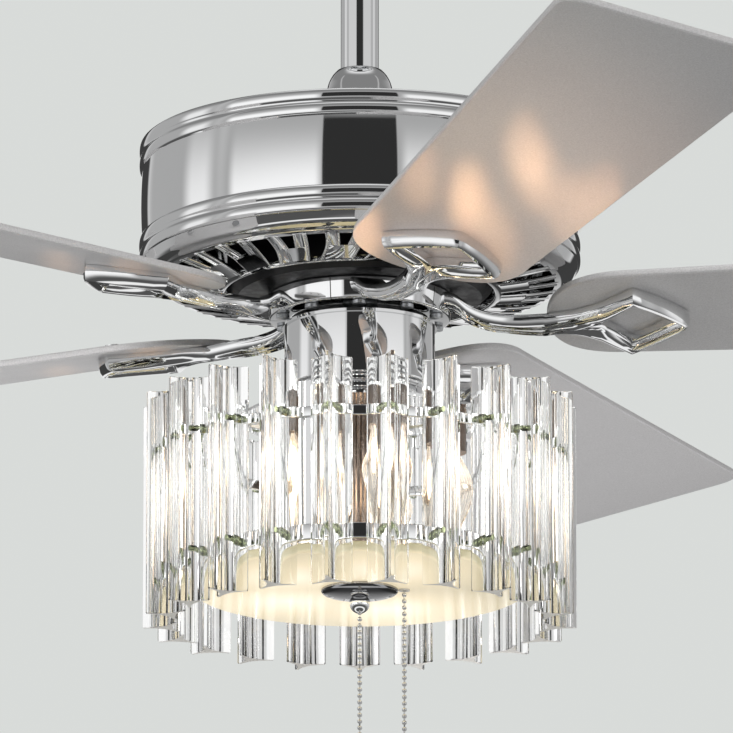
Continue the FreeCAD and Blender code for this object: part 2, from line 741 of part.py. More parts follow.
def between_vents(along, across):
    """A place turned by half the vents' pitch, to lie between two long vents."""
    turned = "(180 / vent_count)"
    return ("(%s) * cos%s - (%s) * sin%s" % (along, turned, across, turned),
            "(%s) * sin%s + (%s) * cos%s" % (along, turned, across, turned))


long_vent = [(vent_start, "-vent_start_width / 2", "vent_curve", 1), (vent_end, "vent_lean - vent_end_width / 2"),
             (vent_end, "vent_lean + vent_end_width / 2", "vent_curve", -1), (vent_start, "vent_start_width / 2")]
short_vent = [between_vents(short_start, "vent_lean * vent_short_share - vent_short_start_width / 2"),
              between_vents(vent_end, "vent_lean - vent_short_end_width / 2"),
              between_vents(vent_end, "vent_lean + vent_short_end_width / 2"),
              between_vents(short_start, "vent_lean * vent_short_share + vent_short_start_width / 2")]
vents = cut(housing_bottom, "XY_Plane", "rim_level - vent_outer_drop + overrun",
            "vent_inner_drop - vent_outer_drop + overrun", [long_vent, short_vent])
copy_round(housing_bottom, "vent_count", [vents])

# Motor shaft: fixed and hollow, so that the wires pass down to the switch housing
shaft = new_body("motor_shaft")
turn(shaft, rectangle("shaft_bore_radius", "shaft_radius", "rim_level - shaft_end_drop", "yoke_floor"))

bearings = new_body("bearings")
turn(bearings, *[rectangle("shaft_radius", "bearing_radius", top + " - bearing_height", top)
                 for top in ("upper_bearing_top", "lower_bearing_top")])

spacer = new_body("shaft_spacer")
turn(spacer, rectangle("shaft_radius", "spacer_radius", "switch_plate_top", "lower_bearing_bottom"))

nut = new_body("shaft_nut")
pad(nut, "XY_Plane", "switch_top - nut_height", "nut_height",
    [[("nut_radius * cos(%d)" % angle, "nut_radius * sin(%d)" % angle) for angle in range(30, 390, 60)]],
    [("0", "0", "shaft_radius")])

# Stator: a slotted core on the shaft, with a copper bundle through each slot
bundle = rectangle("winding_inner_radius", "winding_outer_radius", "-winding_half_width", "winding_half_width")
stator = new_body("stator_core")
turn(stator, rectangle("shaft_radius", "stator_radius", "stator_bottom", "stator_top"))
stator_slots = cut(stator, "XY_Plane", "stator_top", "stator_height", [bundle])
copy_round(stator, "tooth_count", [stator_slots])

windings = new_body("stator_windings")
pad(windings, "XY_Plane", "stator_bottom - winding_overhang", "stator_height + 2 * winding_overhang", [bundle])
copy_round(windings, "tooth_count")

# Rotor: two cast shells on the bearings around the stator, with a cage ring between them
bearing_bore = "bearing_radius + running_gap"
inner_radius = "rotor_radius - rotor_wall"
upper_shell = new_body("rotor_upper_shell")
turn(upper_shell, [(bearing_bore, "rotor_top"), ("rotor_hub_radius", "rotor_top"),
                   ("rotor_radius", "rotor_top - rotor_crown"), ("rotor_radius", "rotor_joint"),
                   (inner_radius, "rotor_joint"), (inner_radius, "rotor_top - rotor_crown - rotor_wall"),
                   ("rotor_hub_radius", "rotor_top - rotor_hub_height"),
                   (bearing_bore, "rotor_top - rotor_hub_height")])

screw_places = [("iron_screw_circle * cos(iron_screw_half_angle)",
                 side + "iron_screw_circle * sin(iron_screw_half_angle)", "iron_screw_radius")
                for side in ("-", "")]
head_places = [(place[0], place[1], "iron_screw_head_radius") for place in screw_places]
lower_shell = new_body("rotor_lower_shell")
turn(lower_shell, [("rotor_radius", "rotor_joint"), ("rotor_radius", "rotor_bottom + rotor_chamfer"),
                   ("rotor_radius - rotor_chamfer", "rotor_bottom"), (bearing_bore, "rotor_bottom"),
                   (bearing_bore, "lower_bearing_top + running_gap"),
                   ("shaft_radius + free_gap", "lower_bearing_top + running_gap"),
                   ("shaft_radius + free_gap", "lower_bearing_top + rotor_wall"),
                   ("rotor_hub_radius", "lower_bearing_top + rotor_wall"),
                   ("rotor_hub_radius + rotor_wall", "rotor_bottom + rotor_floor"),
                   (inner_radius, "rotor_bottom + rotor_floor"), (inner_radius, "rotor_joint")])
shell_holes = cut(lower_shell, "XY_Plane", "rotor_bottom", "iron_screw_bite", circles=screw_places, backwards=True)
copy_round(lower_shell, "blade_count", [shell_holes])

rotor_ring = new_body("rotor_ring")
turn(rotor_ring, rectangle("stator_radius + free_gap", inner_radius, "stator_bottom", "stator_top"))

# Blade irons: a level foot screwed under the rotor, a dipping arm, and an open kite under the blade
blade_underside = "-blade_thickness / 2"
loop_bottom = "-blade_thickness / 2 - loop_thickness"
blade_screw_places = [("loop_corner", "-loop_half_width + loop_bar", "blade_screw_radius"),
                      ("loop_corner", "loop_half_width - loop_bar", "blade_screw_radius"),
                      ("loop_end - loop_bar", "0", "blade_screw_radius")]


def make_iron(label):
    """One blade iron along +X."""
    iron = new_body(label)
    turn(iron, rectangle("foot_inner_radius", "foot_outer_radius", "foot_bottom", "rotor_bottom"),
         angle="360 / blade_count - foot_gap_angle")
    arm_foot = "iron_screw_circle"
    arm_end = "loop_start + loop_bar"
    arm_end_low = "blade_level + (%s) * tan(blade_rise_angle) - blade_thickness / 2 - loop_thickness" % arm_end
    arm_end_top = arm_end_low + " + loop_thickness - free_gap - arm_half_width * tan(blade_pitch)"
    arm_top = "foot_bottom + arm_thickness + foot_round"
    dip = "arm_low"
    pad(iron, "XZ_Plane", "0", "2 * arm_half_width",
        [[(arm_foot, "foot_bottom + foot_round"), ("foot_outer_radius", "foot_bottom + foot_round"),
          ("(foot_outer_radius + arm_dip_radius) / 2", "(foot_bottom + foot_round + %s) / 2" % dip),
          ("arm_dip_radius", dip), (arm_end, arm_end_low), (arm_end, arm_end_top),
          ("arm_dip_radius", dip + " + arm_thickness"),
          ("(foot_outer_radius + arm_dip_radius) / 2", "(%s + %s + arm_thickness) / 2" % (arm_top, dip)),
          ("foot_outer_radius", arm_top), (arm_foot, arm_top)]], both_ways=True)
    outer_tip = [("loop_end", "-loop_bar"), ("loop_end", "loop_bar")]
    outer_sides = [("loop_corner", "-loop_half_width"), ("loop_corner", "loop_half_width")]
    opening_sides = [("loop_corner", "bar_across - loop_half_width"), ("loop_corner", "loop_half_width - bar_across")]
    pad(iron, "blade_plane", loop_bottom, "loop_thickness",
        [[("loop_start", "-arm_half_width"), outer_sides[0], *outer_tip, outer_sides[1],
          ("loop_start", "arm_half_width")],
         [("loop_start + bar_along", "0"), opening_sides[1], ("loop_end - bar_across", "0"), opening_sides[0]]])
    round_edges(iron, "loop_round", uprights_at(*outer_tip, *outer_sides, frame=blade_frame()))
    round_edges(iron, "loop_inner_round", uprights_at(*opening_sides, frame=blade_frame()))
    cut(iron, "blade_plane", blade_underside, "blade_screw_depth", circles=blade_screw_places)
    cut(iron, "XY_Plane", "foot_bottom", "foot_height", circles=screw_places, backwards=True)
    return iron


def make_blade(label):
    """One blade along +X in its own level plane: a tapering board with a rounded root and tip."""
    blade = new_body(label)
    root = [("blade_root", "-blade_root_half_width"), ("blade_root", "blade_root_half_width")]
    tip = [("blade_tip", "blade_tip_half_width"), ("blade_tip", "-blade_tip_half_width")]
    pad(blade, "XY_Plane", "-blade_thickness / 2", "blade_thickness", [[root[0], tip[1], tip[0], root[1]]])
    round_edges(blade, "blade_root_round", uprights_at(*root))
    round_edges(blade, "blade_tip_round", uprights_at(*tip))
    cut(blade, "XY_Plane", "blade_thickness / 2", "blade_thickness", circles=blade_screw_places)
    return blade


rotor_turn = FreeCAD.Placement(Vector(0, 0, 0), FreeCAD.Rotation(Vector(0, 0, 1), size("rotor_phase")))
for number in range(1, int(size("blade_count")) + 1):
    heading = size("rotor_phase + %d * 360 / blade_count" % (number - 2))
    spoke = FreeCAD.Placement(Vector(0, 0, 0), FreeCAD.Rotation(Vector(0, 0, 1), heading))
    make_iron("blade_iron_%d" % number).Placement = spoke
    make_blade("blade_%d" % number).Placement = spoke * blade_frame()

# Iron screws: two up through each foot into the rotor
iron_screws = new_body("iron_screws")
pad(iron_screws, "XY_Plane", "foot_bottom", "foot_height + iron_screw_bite", [], screw_places)
pad(iron_screws, "XY_Plane", "foot_bottom - iron_screw_head", "iron_screw_head", [], head_places)
copy_round(iron_screws, "blade_count")

# Blade screws: three down through each blade into its iron
blade_screws = new_body("blade_screws")
blade_heads = [(place[0], place[1], "blade_screw_head_radius") for place in blade_screw_places]
pad(blade_screws, "blade_plane", "-blade_thickness / 2 - blade_screw_depth", "blade_thickness + blade_screw_depth",
    [], blade_screw_places)
pad(blade_screws, "blade_plane", "blade_thickness / 2", "blade_screw_head", [], blade_heads)
copy_round(blade_screws, "blade_count")
for body in (lower_shell, iron_screws, blade_screws):
    body.Placement = rotor_turn

# Switch plate and housing: a chrome can under the motor, held up by the shaft's nut
switch_plate = new_body("switch_plate")
turn(switch_plate, rectangle("shaft_radius", "switch_plate_radius", "switch_top", "switch_plate_top"))

switch_housing = new_body("switch_housing")
turn(switch_housing, [("switch_radius - metal_wall", "switch_top"), ("switch_radius - metal_wall", "switch_floor"),
                      ("switch_lip_radius", "switch_floor"), ("switch_lip_radius", "switch_bottom"),
                      ("switch_radius", "switch_bottom"), ("switch_radius", "switch_top")])
lip_holes = cut(switch_housing, "XY_Plane", "switch_floor", "metal_wall",
                circles=[("hub_screw_circle", "0", "hub_screw_radius")])
copy_round(switch_housing, "hub_screw_count", [lip_holes])
round_edges(switch_housing, "switch_round", circles_at(("switch_radius", "switch_bottom")))

# Pull switches and capacitor, standing on the light hub inside the switch housing
for label, place in (("pull_switch_light", "0"), ("pull_switch_fan", "chain_offset")):
    switch = new_body(label)
    case = rectangle(place + " - pull_switch_width / 2", place + " + pull_switch_width / 2",
                     "-pull_switch_length / 2", "pull_switch_length / 2")
    pad(switch, "XY_Plane", "switch_bottom", "pull_switch_height", [case])
    pad(switch, "XY_Plane", "switch_bottom", "nozzle_length", [], [(place, "0", "nozzle_radius")], backwards=True)

capacitor = new_body("capacitor")
pad(capacitor, "XY_Plane", "switch_bottom", "capacitor_height",
    [rectangle("-capacitor_length / 2", "capacitor_length / 2", "capacitor_offset - capacitor_width / 2",
               "capacitor_offset + capacitor_width / 2")])

# Light hub: stacked rings under the switch housing, bored for the stem and the fan's chain
hub = new_body("light_hub")
hub_side = [("hub_radius", "switch_bottom"), ("hub_radius", "hub_rings_top"), ("ring_radius", "hub_rings_top")]
ring_top = "hub_rings_top"
for groove_below in (True, True, False):
    ring_bottom = ring_top + " - ring_height"
    hub_side.append(("ring_radius", ring_bottom))
    if groove_below:
        ring_top = ring_bottom + " - groove_height"
        hub_side += [("groove_radius", ring_bottom), ("groove_radius", ring_top), ("ring_radius", ring_top)]
turn(hub, hub_side + [("stem_radius", "hub_bottom"), ("stem_radius", "switch_bottom")])
cut(hub, "XY_Plane", "switch_bottom", "switch_bottom - hub_bottom",
    circles=[("chain_offset", "0", "nozzle_radius")])
hub_holes = cut(hub, "XY_Plane", "switch_bottom", "hub_flange", circles=[("hub_screw_circle", "0", "hub_screw_radius")])
copy_round(hub, "hub_screw_count", [hub_holes])

hub_screws = new_body("hub_screws")
turn(hub_screws, screw_profile("hub_screw_circle", "hub_screw_radius", "hub_screw_head_radius",
                               "switch_floor + hub_screw_head", "switch_floor", "hub_rings_top"),
     axis="hub_screw_circle")
copy_round(hub_screws, "hub_screw_count")

# Light plate: carries the lamp sockets and, on five straps, the two bands of the drum's cage
plate = new_body("light_plate")
turn(plate, rectangle("stem_radius", "plate_radius", "plate_bottom", "hub_bottom"))
cut(plate, "XY_Plane", "hub_bottom", "plate_thickness", circles=[("chain_offset", "0", "nozzle_radius")])

strap_under = "plate_bottom - strap_thickness"
straps = new_body("cage_straps")
turn(straps, [("strap_inner_radius", strap_under), ("strap_inner", strap_under),
              ("strap_inner", "lower_band_bottom"),
              ("strap_outer", "lower_band_bottom"), ("strap_outer", "plate_bottom"),
              ("strap_inner_radius", "plate_bottom")], angle="strap_angle")
copy_round(straps, "lamp_count")
straps.Placement = FreeCAD.Placement(
    Vector(0, 0, 0), FreeCAD.Rotation(Vector(0, 0, 1), size("180 / lamp_count")))

for label, top, height in (("upper_band", "upper_band_top", "upper_band_height"),
                           ("lower_band", "lower_band_top", "lower_band_height")):
    turn(new_body(label), rectangle("strap_outer", "band_radius", top + " - " + height, top))

# Lamps: five sockets under the plate, each with a candle bulb
sockets = new_body("lamp_sockets")
turn(sockets, [("lamp_circle", "plate_bottom"), ("lamp_circle + socket_radius", "plate_bottom"),
               ("lamp_circle + socket_radius", "socket_bottom"), ("lamp_circle + cap_radius", "socket_bottom"),
               ("lamp_circle + cap_radius", "plate_bottom - socket_wall"),
               ("lamp_circle", "plate_bottom - socket_wall")], axis="lamp_circle")
copy_round(sockets, "lamp_count")

bulbs = new_body("lamp_bulbs")
turn(bulbs, [("lamp_circle", "plate_bottom - socket_wall - free_gap"),
             ("lamp_circle + cap_radius", "plate_bottom - socket_wall - free_gap"),
             ("lamp_circle + cap_radius", "socket_bottom"),
             ("lamp_circle + bulb_neck_radius", "socket_bottom - bulb_neck", "bulb_shoulder_curve", 1),
             ("lamp_circle + bulb_radius", "socket_bottom - bulb_neck - bulb_length * bulb_belly_share",
              "bulb_flame_curve", 1),
             ("lamp_circle + bulb_tip_radius", "socket_bottom - bulb_neck - bulb_length"),
             ("lamp_circle", "socket_bottom - bulb_neck - bulb_length")], axis="lamp_circle")
copy_round(bulbs, "lamp_count")

# Crystal drum: three-pointed prisms with hollow sides, one corner outwards, pinned to both bands
star = []
for angle in (0, 120, 240):
    middle = ("prism_centre_radius + prism_corner_radius * cos(%d)" % angle, "prism_corner_radius * sin(%d)" % angle)
    across = ("prism_corner_flat / 2 * sin(%d)" % angle, "prism_corner_flat / 2 * cos(%d)" % angle)
    star.append((middle[0] + " + " + across[0], middle[1] + " - " + across[1]))
    star.append((middle[0] + " - " + across[0], middle[1] + " + " + across[1], "prism_side_radius", 1))
pin_places = [("0", "upper_band_middle", "pin_radius"), ("0", "lower_band_middle", "pin_radius")]
prisms = new_body("crystal_prisms")
pad(prisms, "XY_Plane", "prism_bottom", "prism_length", [star])
cut(prisms, "YZ_Plane", "prism_centre_radius", "prism_corner_radius", circles=pin_places)
copy_round(prisms, "prism_count")

pins = new_body("prism_pins")
pad(pins, "YZ_Plane", "band_radius", "prism_centre_radius - band_radius", [], pin_places)
copy_round(pins, "prism_count")
for body in (prisms, pins):
    body.Placement = FreeCAD.Placement(Vector(0, 0, 0), FreeCAD.Rotation(Vector(0, 0, 1), 90))

# Centre stem, frosted disc, dish and ball finial; the light's chain runs down through the stem
stem = new_body("centre_stem")
turn(stem, rectangle("chain_bore_radius", "stem_radius", "stem_bottom", "stem_top"))

disc = new_body("glass_disc")
turn(disc, rectangle("stem_radius", "disc_radius", "disc_bottom", "disc_top"))
cut(disc, "XY_Plane", "disc_top", "disc_thickness", circles=[("chain_offset", "0", "grommet_hole_radius")])
round_edges(disc, "disc_round", circles_at(("disc_radius", "disc_top"), ("disc_radius", "disc_bottom")))

grommet = new_body("chain_grommet")
grommet_side = [(radius, level) for level, radii in (
    ("disc_top + grommet_flange", ("chain_bore_radius", "grommet_flange_radius")),
    ("disc_top", ("grommet_flange_radius", "grommet_hole_radius")),
    ("disc_bottom", ("grommet_hole_radius", "grommet_flange_radius")),
    ("disc_bottom - grommet_flange", ("grommet_flange_radius", "chain_bore_radius"))) for radius in radii]
turn(grommet, [("chain_offset + " + radius, level) for radius, level in grommet_side], axis="chain_offset")

dish = new_body("finial_cap")
turn(dish, [("stem_radius", "dish_bottom"), ("dish_neck_radius", "dish_bottom", "dish_curve", -1),
            ("dish_radius", "disc_bottom - dish_edge"), ("dish_radius", "disc_bottom"),
            ("stem_radius", "disc_bottom")])

finial = new_body("ball_finial")
turn(finial, [("chain_bore_radius", "finial_centre - sqrt(finial_ball_radius ^ 2 - chain_bore_radius ^ 2)",
               "finial_ball_radius", -1),
              ("finial_neck_radius", "finial_centre + sqrt(finial_ball_radius ^ 2 - finial_neck_radius ^ 2)"),
              ("finial_neck_radius", "dish_bottom"), ("stem_radius", "dish_bottom"),
              ("stem_radius", "stem_bottom"), ("chain_bore_radius", "stem_bottom")])

# Pull chains: straight runs from the switches' nozzles, each with a turned knob at its end
for name, place, end in (("light", "0", "light_chain_end"), ("fan", "chain_offset", "fan_chain_end")):
    chain = new_body(name + "_chain")
    pad(chain, "XY_Plane", end, "chain_top - (%s)" % end, [], [(place, "0", "chain_radius")])
    knob = new_body(name + "_knob")
    turn(knob, [(place, end), (place + " + knob_waist_radius", end),
                (place + " + knob_radius", end + " - knob_length * knob_belly_share"),
                (place + " + knob_waist_radius", end + " - knob_length"), (place, end + " - knob_length")],
         axis=place)

# Check every object, then write one file per sub-part
doc.recompute()
bodies = [item for item in doc.Objects if item.TypeId == "PartDesign::Body"]
failed = [item.Name for item in doc.Objects if {"Invalid", "Error"} & set(item.State)]
if failed:
    raise RuntimeError("did not build: " + ", ".join(failed))
for item in doc.Objects:
    if item.TypeId in ("PartDesign::Pocket", "PartDesign::Groove"):
        if item.BaseFeature.Shape.Volume - item.Shape.Volume <= TOLERANCE:
            raise RuntimeError("%s cuts nothing" % item.Name)
for body in bodies:
    if body.Shape.isNull() or not body.Shape.isValid() or not body.Shape.Solids:
        raise RuntimeError("%s has no valid solid" % body.Label)
os.makedirs("parts", exist_ok=True)
for body in bodies:
    body.Shape.exportStep(os.path.join("parts", body.Label + ".step"))
    print(body.Label, len(body.Shape.Solids), "solids", round(body.Shape.Volume), "mm3")
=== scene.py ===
import bmesh
import bpy
import math
from mathutils import Matrix, Vector


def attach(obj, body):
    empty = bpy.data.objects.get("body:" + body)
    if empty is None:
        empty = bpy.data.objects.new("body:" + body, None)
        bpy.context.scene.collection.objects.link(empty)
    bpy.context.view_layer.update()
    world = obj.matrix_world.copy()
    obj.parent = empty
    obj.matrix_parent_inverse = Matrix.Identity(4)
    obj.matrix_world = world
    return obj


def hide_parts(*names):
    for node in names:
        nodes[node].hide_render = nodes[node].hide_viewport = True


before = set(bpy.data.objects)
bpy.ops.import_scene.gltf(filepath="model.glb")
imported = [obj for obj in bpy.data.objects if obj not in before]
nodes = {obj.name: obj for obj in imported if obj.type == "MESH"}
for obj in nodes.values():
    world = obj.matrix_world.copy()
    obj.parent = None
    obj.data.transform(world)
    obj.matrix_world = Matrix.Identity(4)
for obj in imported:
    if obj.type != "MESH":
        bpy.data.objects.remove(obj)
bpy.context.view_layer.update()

mm = 0.001

# Ceiling bracket and its cover screws: a pressed steel strap that bolts to the ceiling box, zinc plated,
# with a stirrup that holds the hanger ball. Two round-headed screws hold the canopy to its tabs.


def add_sockets(group, direction, *names):
    """Named values that go into a node group or come out of it."""
    for name in names:
        group.interface.new_socket(name=name, in_out=direction, socket_type="NodeSocketFloat")


def make_handling_marks():
    """Faint smears and fine wiping marks, put out as a roughness value and a small bump height."""
    group = bpy.data.node_groups.new("handling_marks", "ShaderNodeTree")
    add_sockets(group, "INPUT", "Scale", "Smooth", "Dull")
    add_sockets(group, "OUTPUT", "Roughness", "Height")
    links = group.links
    enter = group.nodes.new("NodeGroupInput")
    leave = group.nodes.new("NodeGroupOutput")
    place = group.nodes.new("ShaderNodeTexCoord")
    smear = group.nodes.new("ShaderNodeTexNoise")
    smear.inputs["Detail"].default_value = 5.0
    smear.inputs["Roughness"].default_value = 0.62
    links.new(place.outputs["Object"], smear.inputs["Vector"])
    links.new(enter.outputs["Scale"], smear.inputs["Scale"])
    spread = group.nodes.new("ShaderNodeMapRange")
    spread.inputs["From Min"].default_value = 0.38
    spread.inputs["From Max"].default_value = 0.72
    links.new(smear.outputs["Fac"], spread.inputs["Value"])
    links.new(enter.outputs["Smooth"], spread.inputs["To Min"])
    links.new(enter.outputs["Dull"], spread.inputs["To Max"])
    links.new(spread.outputs["Result"], leave.inputs["Roughness"])
    links.new(smear.outputs["Fac"], leave.inputs["Height"])
    return group


handling_marks = make_handling_marks()


def new_material(name, values):
    """A new material with its surface shader, which takes some plain values."""
    material = bpy.data.materials.new(name)
    material.use_nodes = True
    shader = material.node_tree.nodes["Principled BSDF"]
    for socket, value in values.items():
        shader.inputs[socket].default_value = value
    return material, material.node_tree, shader


def add_marks(tree, shader, scale, smooth, dull):
    """Lay handling marks over a material's roughness and hand back their height."""
    marks = tree.nodes.new("ShaderNodeGroup")
    marks.node_tree = handling_marks
    for name, value in (("Scale", scale), ("Smooth", smooth), ("Dull", dull)):
        marks.inputs[name].default_value = value
    tree.links.new(marks.outputs["Roughness"], shader.inputs["Roughness"])
    return marks.outputs["Height"]


def add_colours(tree, value, socket, *stops):
    """Colours laid along a value, from its lowest stop to its highest, each as (share, colour)."""
    ramp = tree.nodes.new("ShaderNodeValToRGB")
    elements = ramp.color_ramp.elements
    elements[0].position = stops[0][0]
    elements[1].position = stops[-1][0]
    for share, colour in stops[1:-1]:
        elements.new(share)
    for element, (share, colour) in zip(elements, stops):
        element.color = (*colour, 1)
    tree.links.new(value, ramp.inputs["Fac"])
    tree.links.new(ramp.outputs["Color"], socket)


def add_relief(tree, shader, height, strength, distance):
    """A fine relief in a material's face."""
    relief = tree.nodes.new("ShaderNodeBump")
    relief.inputs["Strength"].default_value = strength
    relief.inputs["Distance"].default_value = distance
    tree.links.new(height, relief.inputs["Height"])
    tree.links.new(relief.outputs["Normal"], shader.inputs["Normal"])


def make_metal(name, colour, smooth, dull, marks_scale, bump=0.0):
    """Plated or bare metal: a mirror or satin face with faint handling marks and a slight colour drift."""
    material, tree, shader = new_material(name, {"Metallic": 1.0})
    height = add_marks(tree, shader, marks_scale, smooth, dull)
    drifted = [part * 0.94 for part in colour]
    add_colours(tree, height, shader.inputs["Base Color"], (0, drifted), (1, colour))
    if bump:
        add_relief(tree, shader, height, bump, 0.0004)
    return material


def dress(material, *names):
    """Give carried-over nodes a finish in place of their plain one."""
    for name in names:
        data = nodes[name].data
        if not data.materials:
            data.materials.append(material)
        for index in range(len(data.materials)):
            data.materials[index] = material


zinc_plate = make_metal("zinc_plate", (0.60, 0.62, 0.64), 0.26, 0.46, 55.0, 0.25)
chrome_plate = make_metal("chrome_plate", (0.90, 0.905, 0.91), 0.015, 0.05, 14.0)
dress(zinc_plate, "ceiling_bracket")
dress(chrome_plate, "canopy_screws")

# Canopy: a spun steel bell, chrome plated, that hides the bracket and the wire joints.
# It is drawn up to the ceiling and left open at its neck, so that the downrod can hang plumb.


def eased(points, radii, steps=6):
    """A run of (radius, height) points with each corner eased by its own arc."""
    run = []
    for index, point in enumerate(points):
        reach = radii[index]
        if reach == 0 or index in (0, len(points) - 1):
            run.append(point)
            continue
        here = Vector(point)
        before = Vector(points[index - 1]) - here
        after = Vector(points[index + 1]) - here
        reach = min(reach, before.length * 0.49, after.length * 0.49)
        first = here + before.normalized() * reach
        last = here + after.normalized() * reach
        for step in range(steps + 1):
            share = step / steps
            curve = first * (1 - share) ** 2 + here * 2 * share * (1 - share) + last * share ** 2
            run.append((curve.x, curve.y))
    return run


def put_in_scene(name, verts, faces, material, sharp=32.0):
    """A named piece from points in millimetres, smooth but for its sharp edges and without unused points."""
    used = sorted({index for face in faces for index in face})
    place = {old: new for new, old in enumerate(used)}
    mesh = bpy.data.meshes.new(name)
    mesh.from_pydata([[part * mm for part in verts[old]] for old in used], [],
                     [[place[index] for index in face] for face in faces])
    mesh.validate()
    shells = bmesh.new()
    shells.from_mesh(mesh)
    bmesh.ops.recalc_face_normals(shells, faces=shells.faces)
    shells.to_mesh(mesh)
    shells.free()
    mesh.polygons.foreach_set("use_smooth", [True] * len(mesh.polygons))
    mesh.set_sharp_from_angle(angle=math.radians(sharp))
    mesh.materials.append(material)
    piece = bpy.data.objects.new(name, mesh)
    bpy.context.scene.collection.objects.link(piece)
    return piece


def circle(radius, steps):
    """Even points round a circle, the first of them at +X."""
    turns = [math.tau * step / steps for step in range(steps)]
    return [(radius * math.cos(turn), radius * math.sin(turn)) for turn in turns]


def lathe_mesh(runs, axis=(0.0, 0.0), segments=128):
    """Points and faces of closed runs of (radius, height), each turned about an upright axis."""
    verts, faces = [], []
    for run in runs:
        start = len(verts)
        count = len(run)
        for x, y in circle(1, segments):
            verts += [(axis[0] + radius * x, axis[1] + radius * y, height) for radius, height in run]
        for step in range(segments):
            here = start + step * count
            there = start + (step + 1) % segments * count
            for index in range(count):
                following = (index + 1) % count
                on_axis = run[index][0] == 0, run[following][0] == 0
                if all(on_axis):
                    continue
                if on_axis[0]:
                    faces.append((start + index, there + following, here + following))
                elif on_axis[1]:
                    faces.append((here + index, there + index, start + following))
                else:
                    faces.append((here + index, there + index, there + following, here + following))
    return verts, faces


def lathe(name, material, *runs, axis=(0.0, 0.0), segments=128, sharp=32.0):
    """A turned piece from one or more closed runs of (radius, height), drawn down the outside first."""
    verts, faces = lathe_mesh(runs, axis, segments)
    return put_in_scene(name, verts, faces, material, sharp)


canopy_outside = eased([(72, 0), (72, -16), (58, -46), (34, -66), (25, -66)], [0, 12, 12, 3, 0])
canopy_inside = [(25, -64.8), (33, -64.8), (56.6, -45), (70.8, -15), (70.8, 0)]
canopy_bell = lathe("canopy_bell", chrome_plate, canopy_outside + canopy_inside)
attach(canopy_bell, "ceiling_mount")
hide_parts("canopy")

# Hanger ball, cross pin and downrod: a moulded ball on a chrome plated steel tube.
# The pin goes through ball and tube, and the ball rests in the bracket's stirrup.


def make_moulding(name, colour, smooth, dull, grain_scale):
    """Moulded plastic or sprayed paint: fine orange-peel bump and a slightly uneven sheen."""
    material, tree, shader = new_material(name, {})
    height = add_marks(tree, shader, grain_scale, smooth, dull)
    drifted = [part * 0.82 for part in colour]
    add_colours(tree, height, shader.inputs["Base Color"], (0, drifted), (1, colour))
    add_relief(tree, shader, height, 0.2, 0.0003)
    return material


black_nylon = make_moulding("black_nylon", (0.022, 0.022, 0.024), 0.34, 0.5, 180.0)
dress(black_nylon, "hanger_ball")
dress(zinc_plate, "ball_pin")
downrod_run = [(13, -18), (13, -196), (11, -196), (11, -18)]
downrod_tube = lathe("downrod_tube", chrome_plate, downrod_run, segments=96)
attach(downrod_tube, "hanging_frame")
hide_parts("downrod")

# Yoke, its pin and set screws, and the coupling cover: a cast yoke joins the tube to the motor's shaft,
# and a spun chrome bell slides down over it to stand on the housing.
dress(zinc_plate, "yoke", "yoke_pin", "yoke_set_screws")
cover_outside = eased([(13.5, -155.9), (15.6, -155.9), (18.6, -159.2), (21.2, -164), (23.7, -174.3),
                       (28.8, -186), (48, -198.8)], [0, 1.2, 2, 4, 5, 6, 0], 8)
cover_inside = [(45.6, -198.8), (27.3, -186.6), (22.4, -177.6), (20.2, -164.7), (13.5, -158.7)]
coupling_bell = lathe("coupling_bell", chrome_plate, cover_outside + cover_inside)
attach(coupling_bell, "hanging_frame")
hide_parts("coupling_cover")

# Motor: a laminated stator wound with copper stands still on the hollow shaft, and a cast shell sprayed
# matt black turns round it on two bearings. Through the vents only the black shell shows.
motor_black = make_moulding("motor_black", (0.006, 0.006, 0.007), 0.3, 0.5, 140.0)
lamination_steel = make_metal("lamination_steel", (0.33, 0.34, 0.36), 0.35, 0.55, 400.0, 0.3)
copper_wire = make_metal("copper_wire", (0.78, 0.36, 0.17), 0.22, 0.4, 260.0, 0.5)
dress(motor_black, "rotor_upper_shell", "rotor_lower_shell", "rotor_ring")
dress(lamination_steel, "stator_core")
dress(copper_wire, "stator_windings")
dress(zinc_plate, "motor_shaft", "bearings", "shaft_spacer", "shaft_nut")

# Housing top: a shallow dome of spun steel, polished and chrome plated.
# It lies on the yoke's flange and is held there by four screws.
dress(zinc_plate, "housing_screws")
dome_outside = eased([(19.5, -198.8), (60, -198.8), (146.8, -210), (146.8, -220)], [0, 14, 3, 0])
dome_inside = [(145.6, -220), (145.6, -211.2), (60, -200), (19.5, -200)]
housing_dome = lathe("housing_dome", chrome_plate, dome_outside + dome_inside, segments=192)
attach(housing_dome, "hanging_frame")
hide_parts("housing_top")

# Housing band: a spun wall with two rolled beads at its top and two at its foot, chrome plated.
# The wall swells slightly between its beads, which bends the reflections in it.
wall_radius, bead_stand, wall_swell = 148, 2, 0.9
wall_top, wall_foot, wall_steps = -228.0, -276.0, 24


def bead(top, foot, steps=10):
    """Half a rolled bead between two heights, standing out from the wall."""
    middle, half = (top + foot) / 2, (top - foot) / 2
    turns = [math.pi / 2 - math.pi * step / steps for step in range(1, steps)]
    return [(wall_radius + bead_stand * math.cos(turn) ** 0.6, middle + half * math.sin(turn))
            for turn in turns]


swell = []
for step in range(wall_steps + 1):
    share = step / wall_steps
    stand = wall_swell * (1 - (2 * share - 1) ** 2)
    swell.append((wall_radius + stand, wall_top + (wall_foot - wall_top) * share))
beads_above = bead(-210, -218) + bead(-219.6, -227.6)
beads_below = bead(-276.4, -284.4) + bead(-286, -294)
band_run = [(147, -210)] + beads_above + swell + beads_below + [(147, -294), (146.9, -294), (146.9, -210)]
housing_wall = lathe("housing_wall", chrome_plate, band_run, segments=256, sharp=50.0)
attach(housing_wall, "hanging_frame")
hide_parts("housing_band")

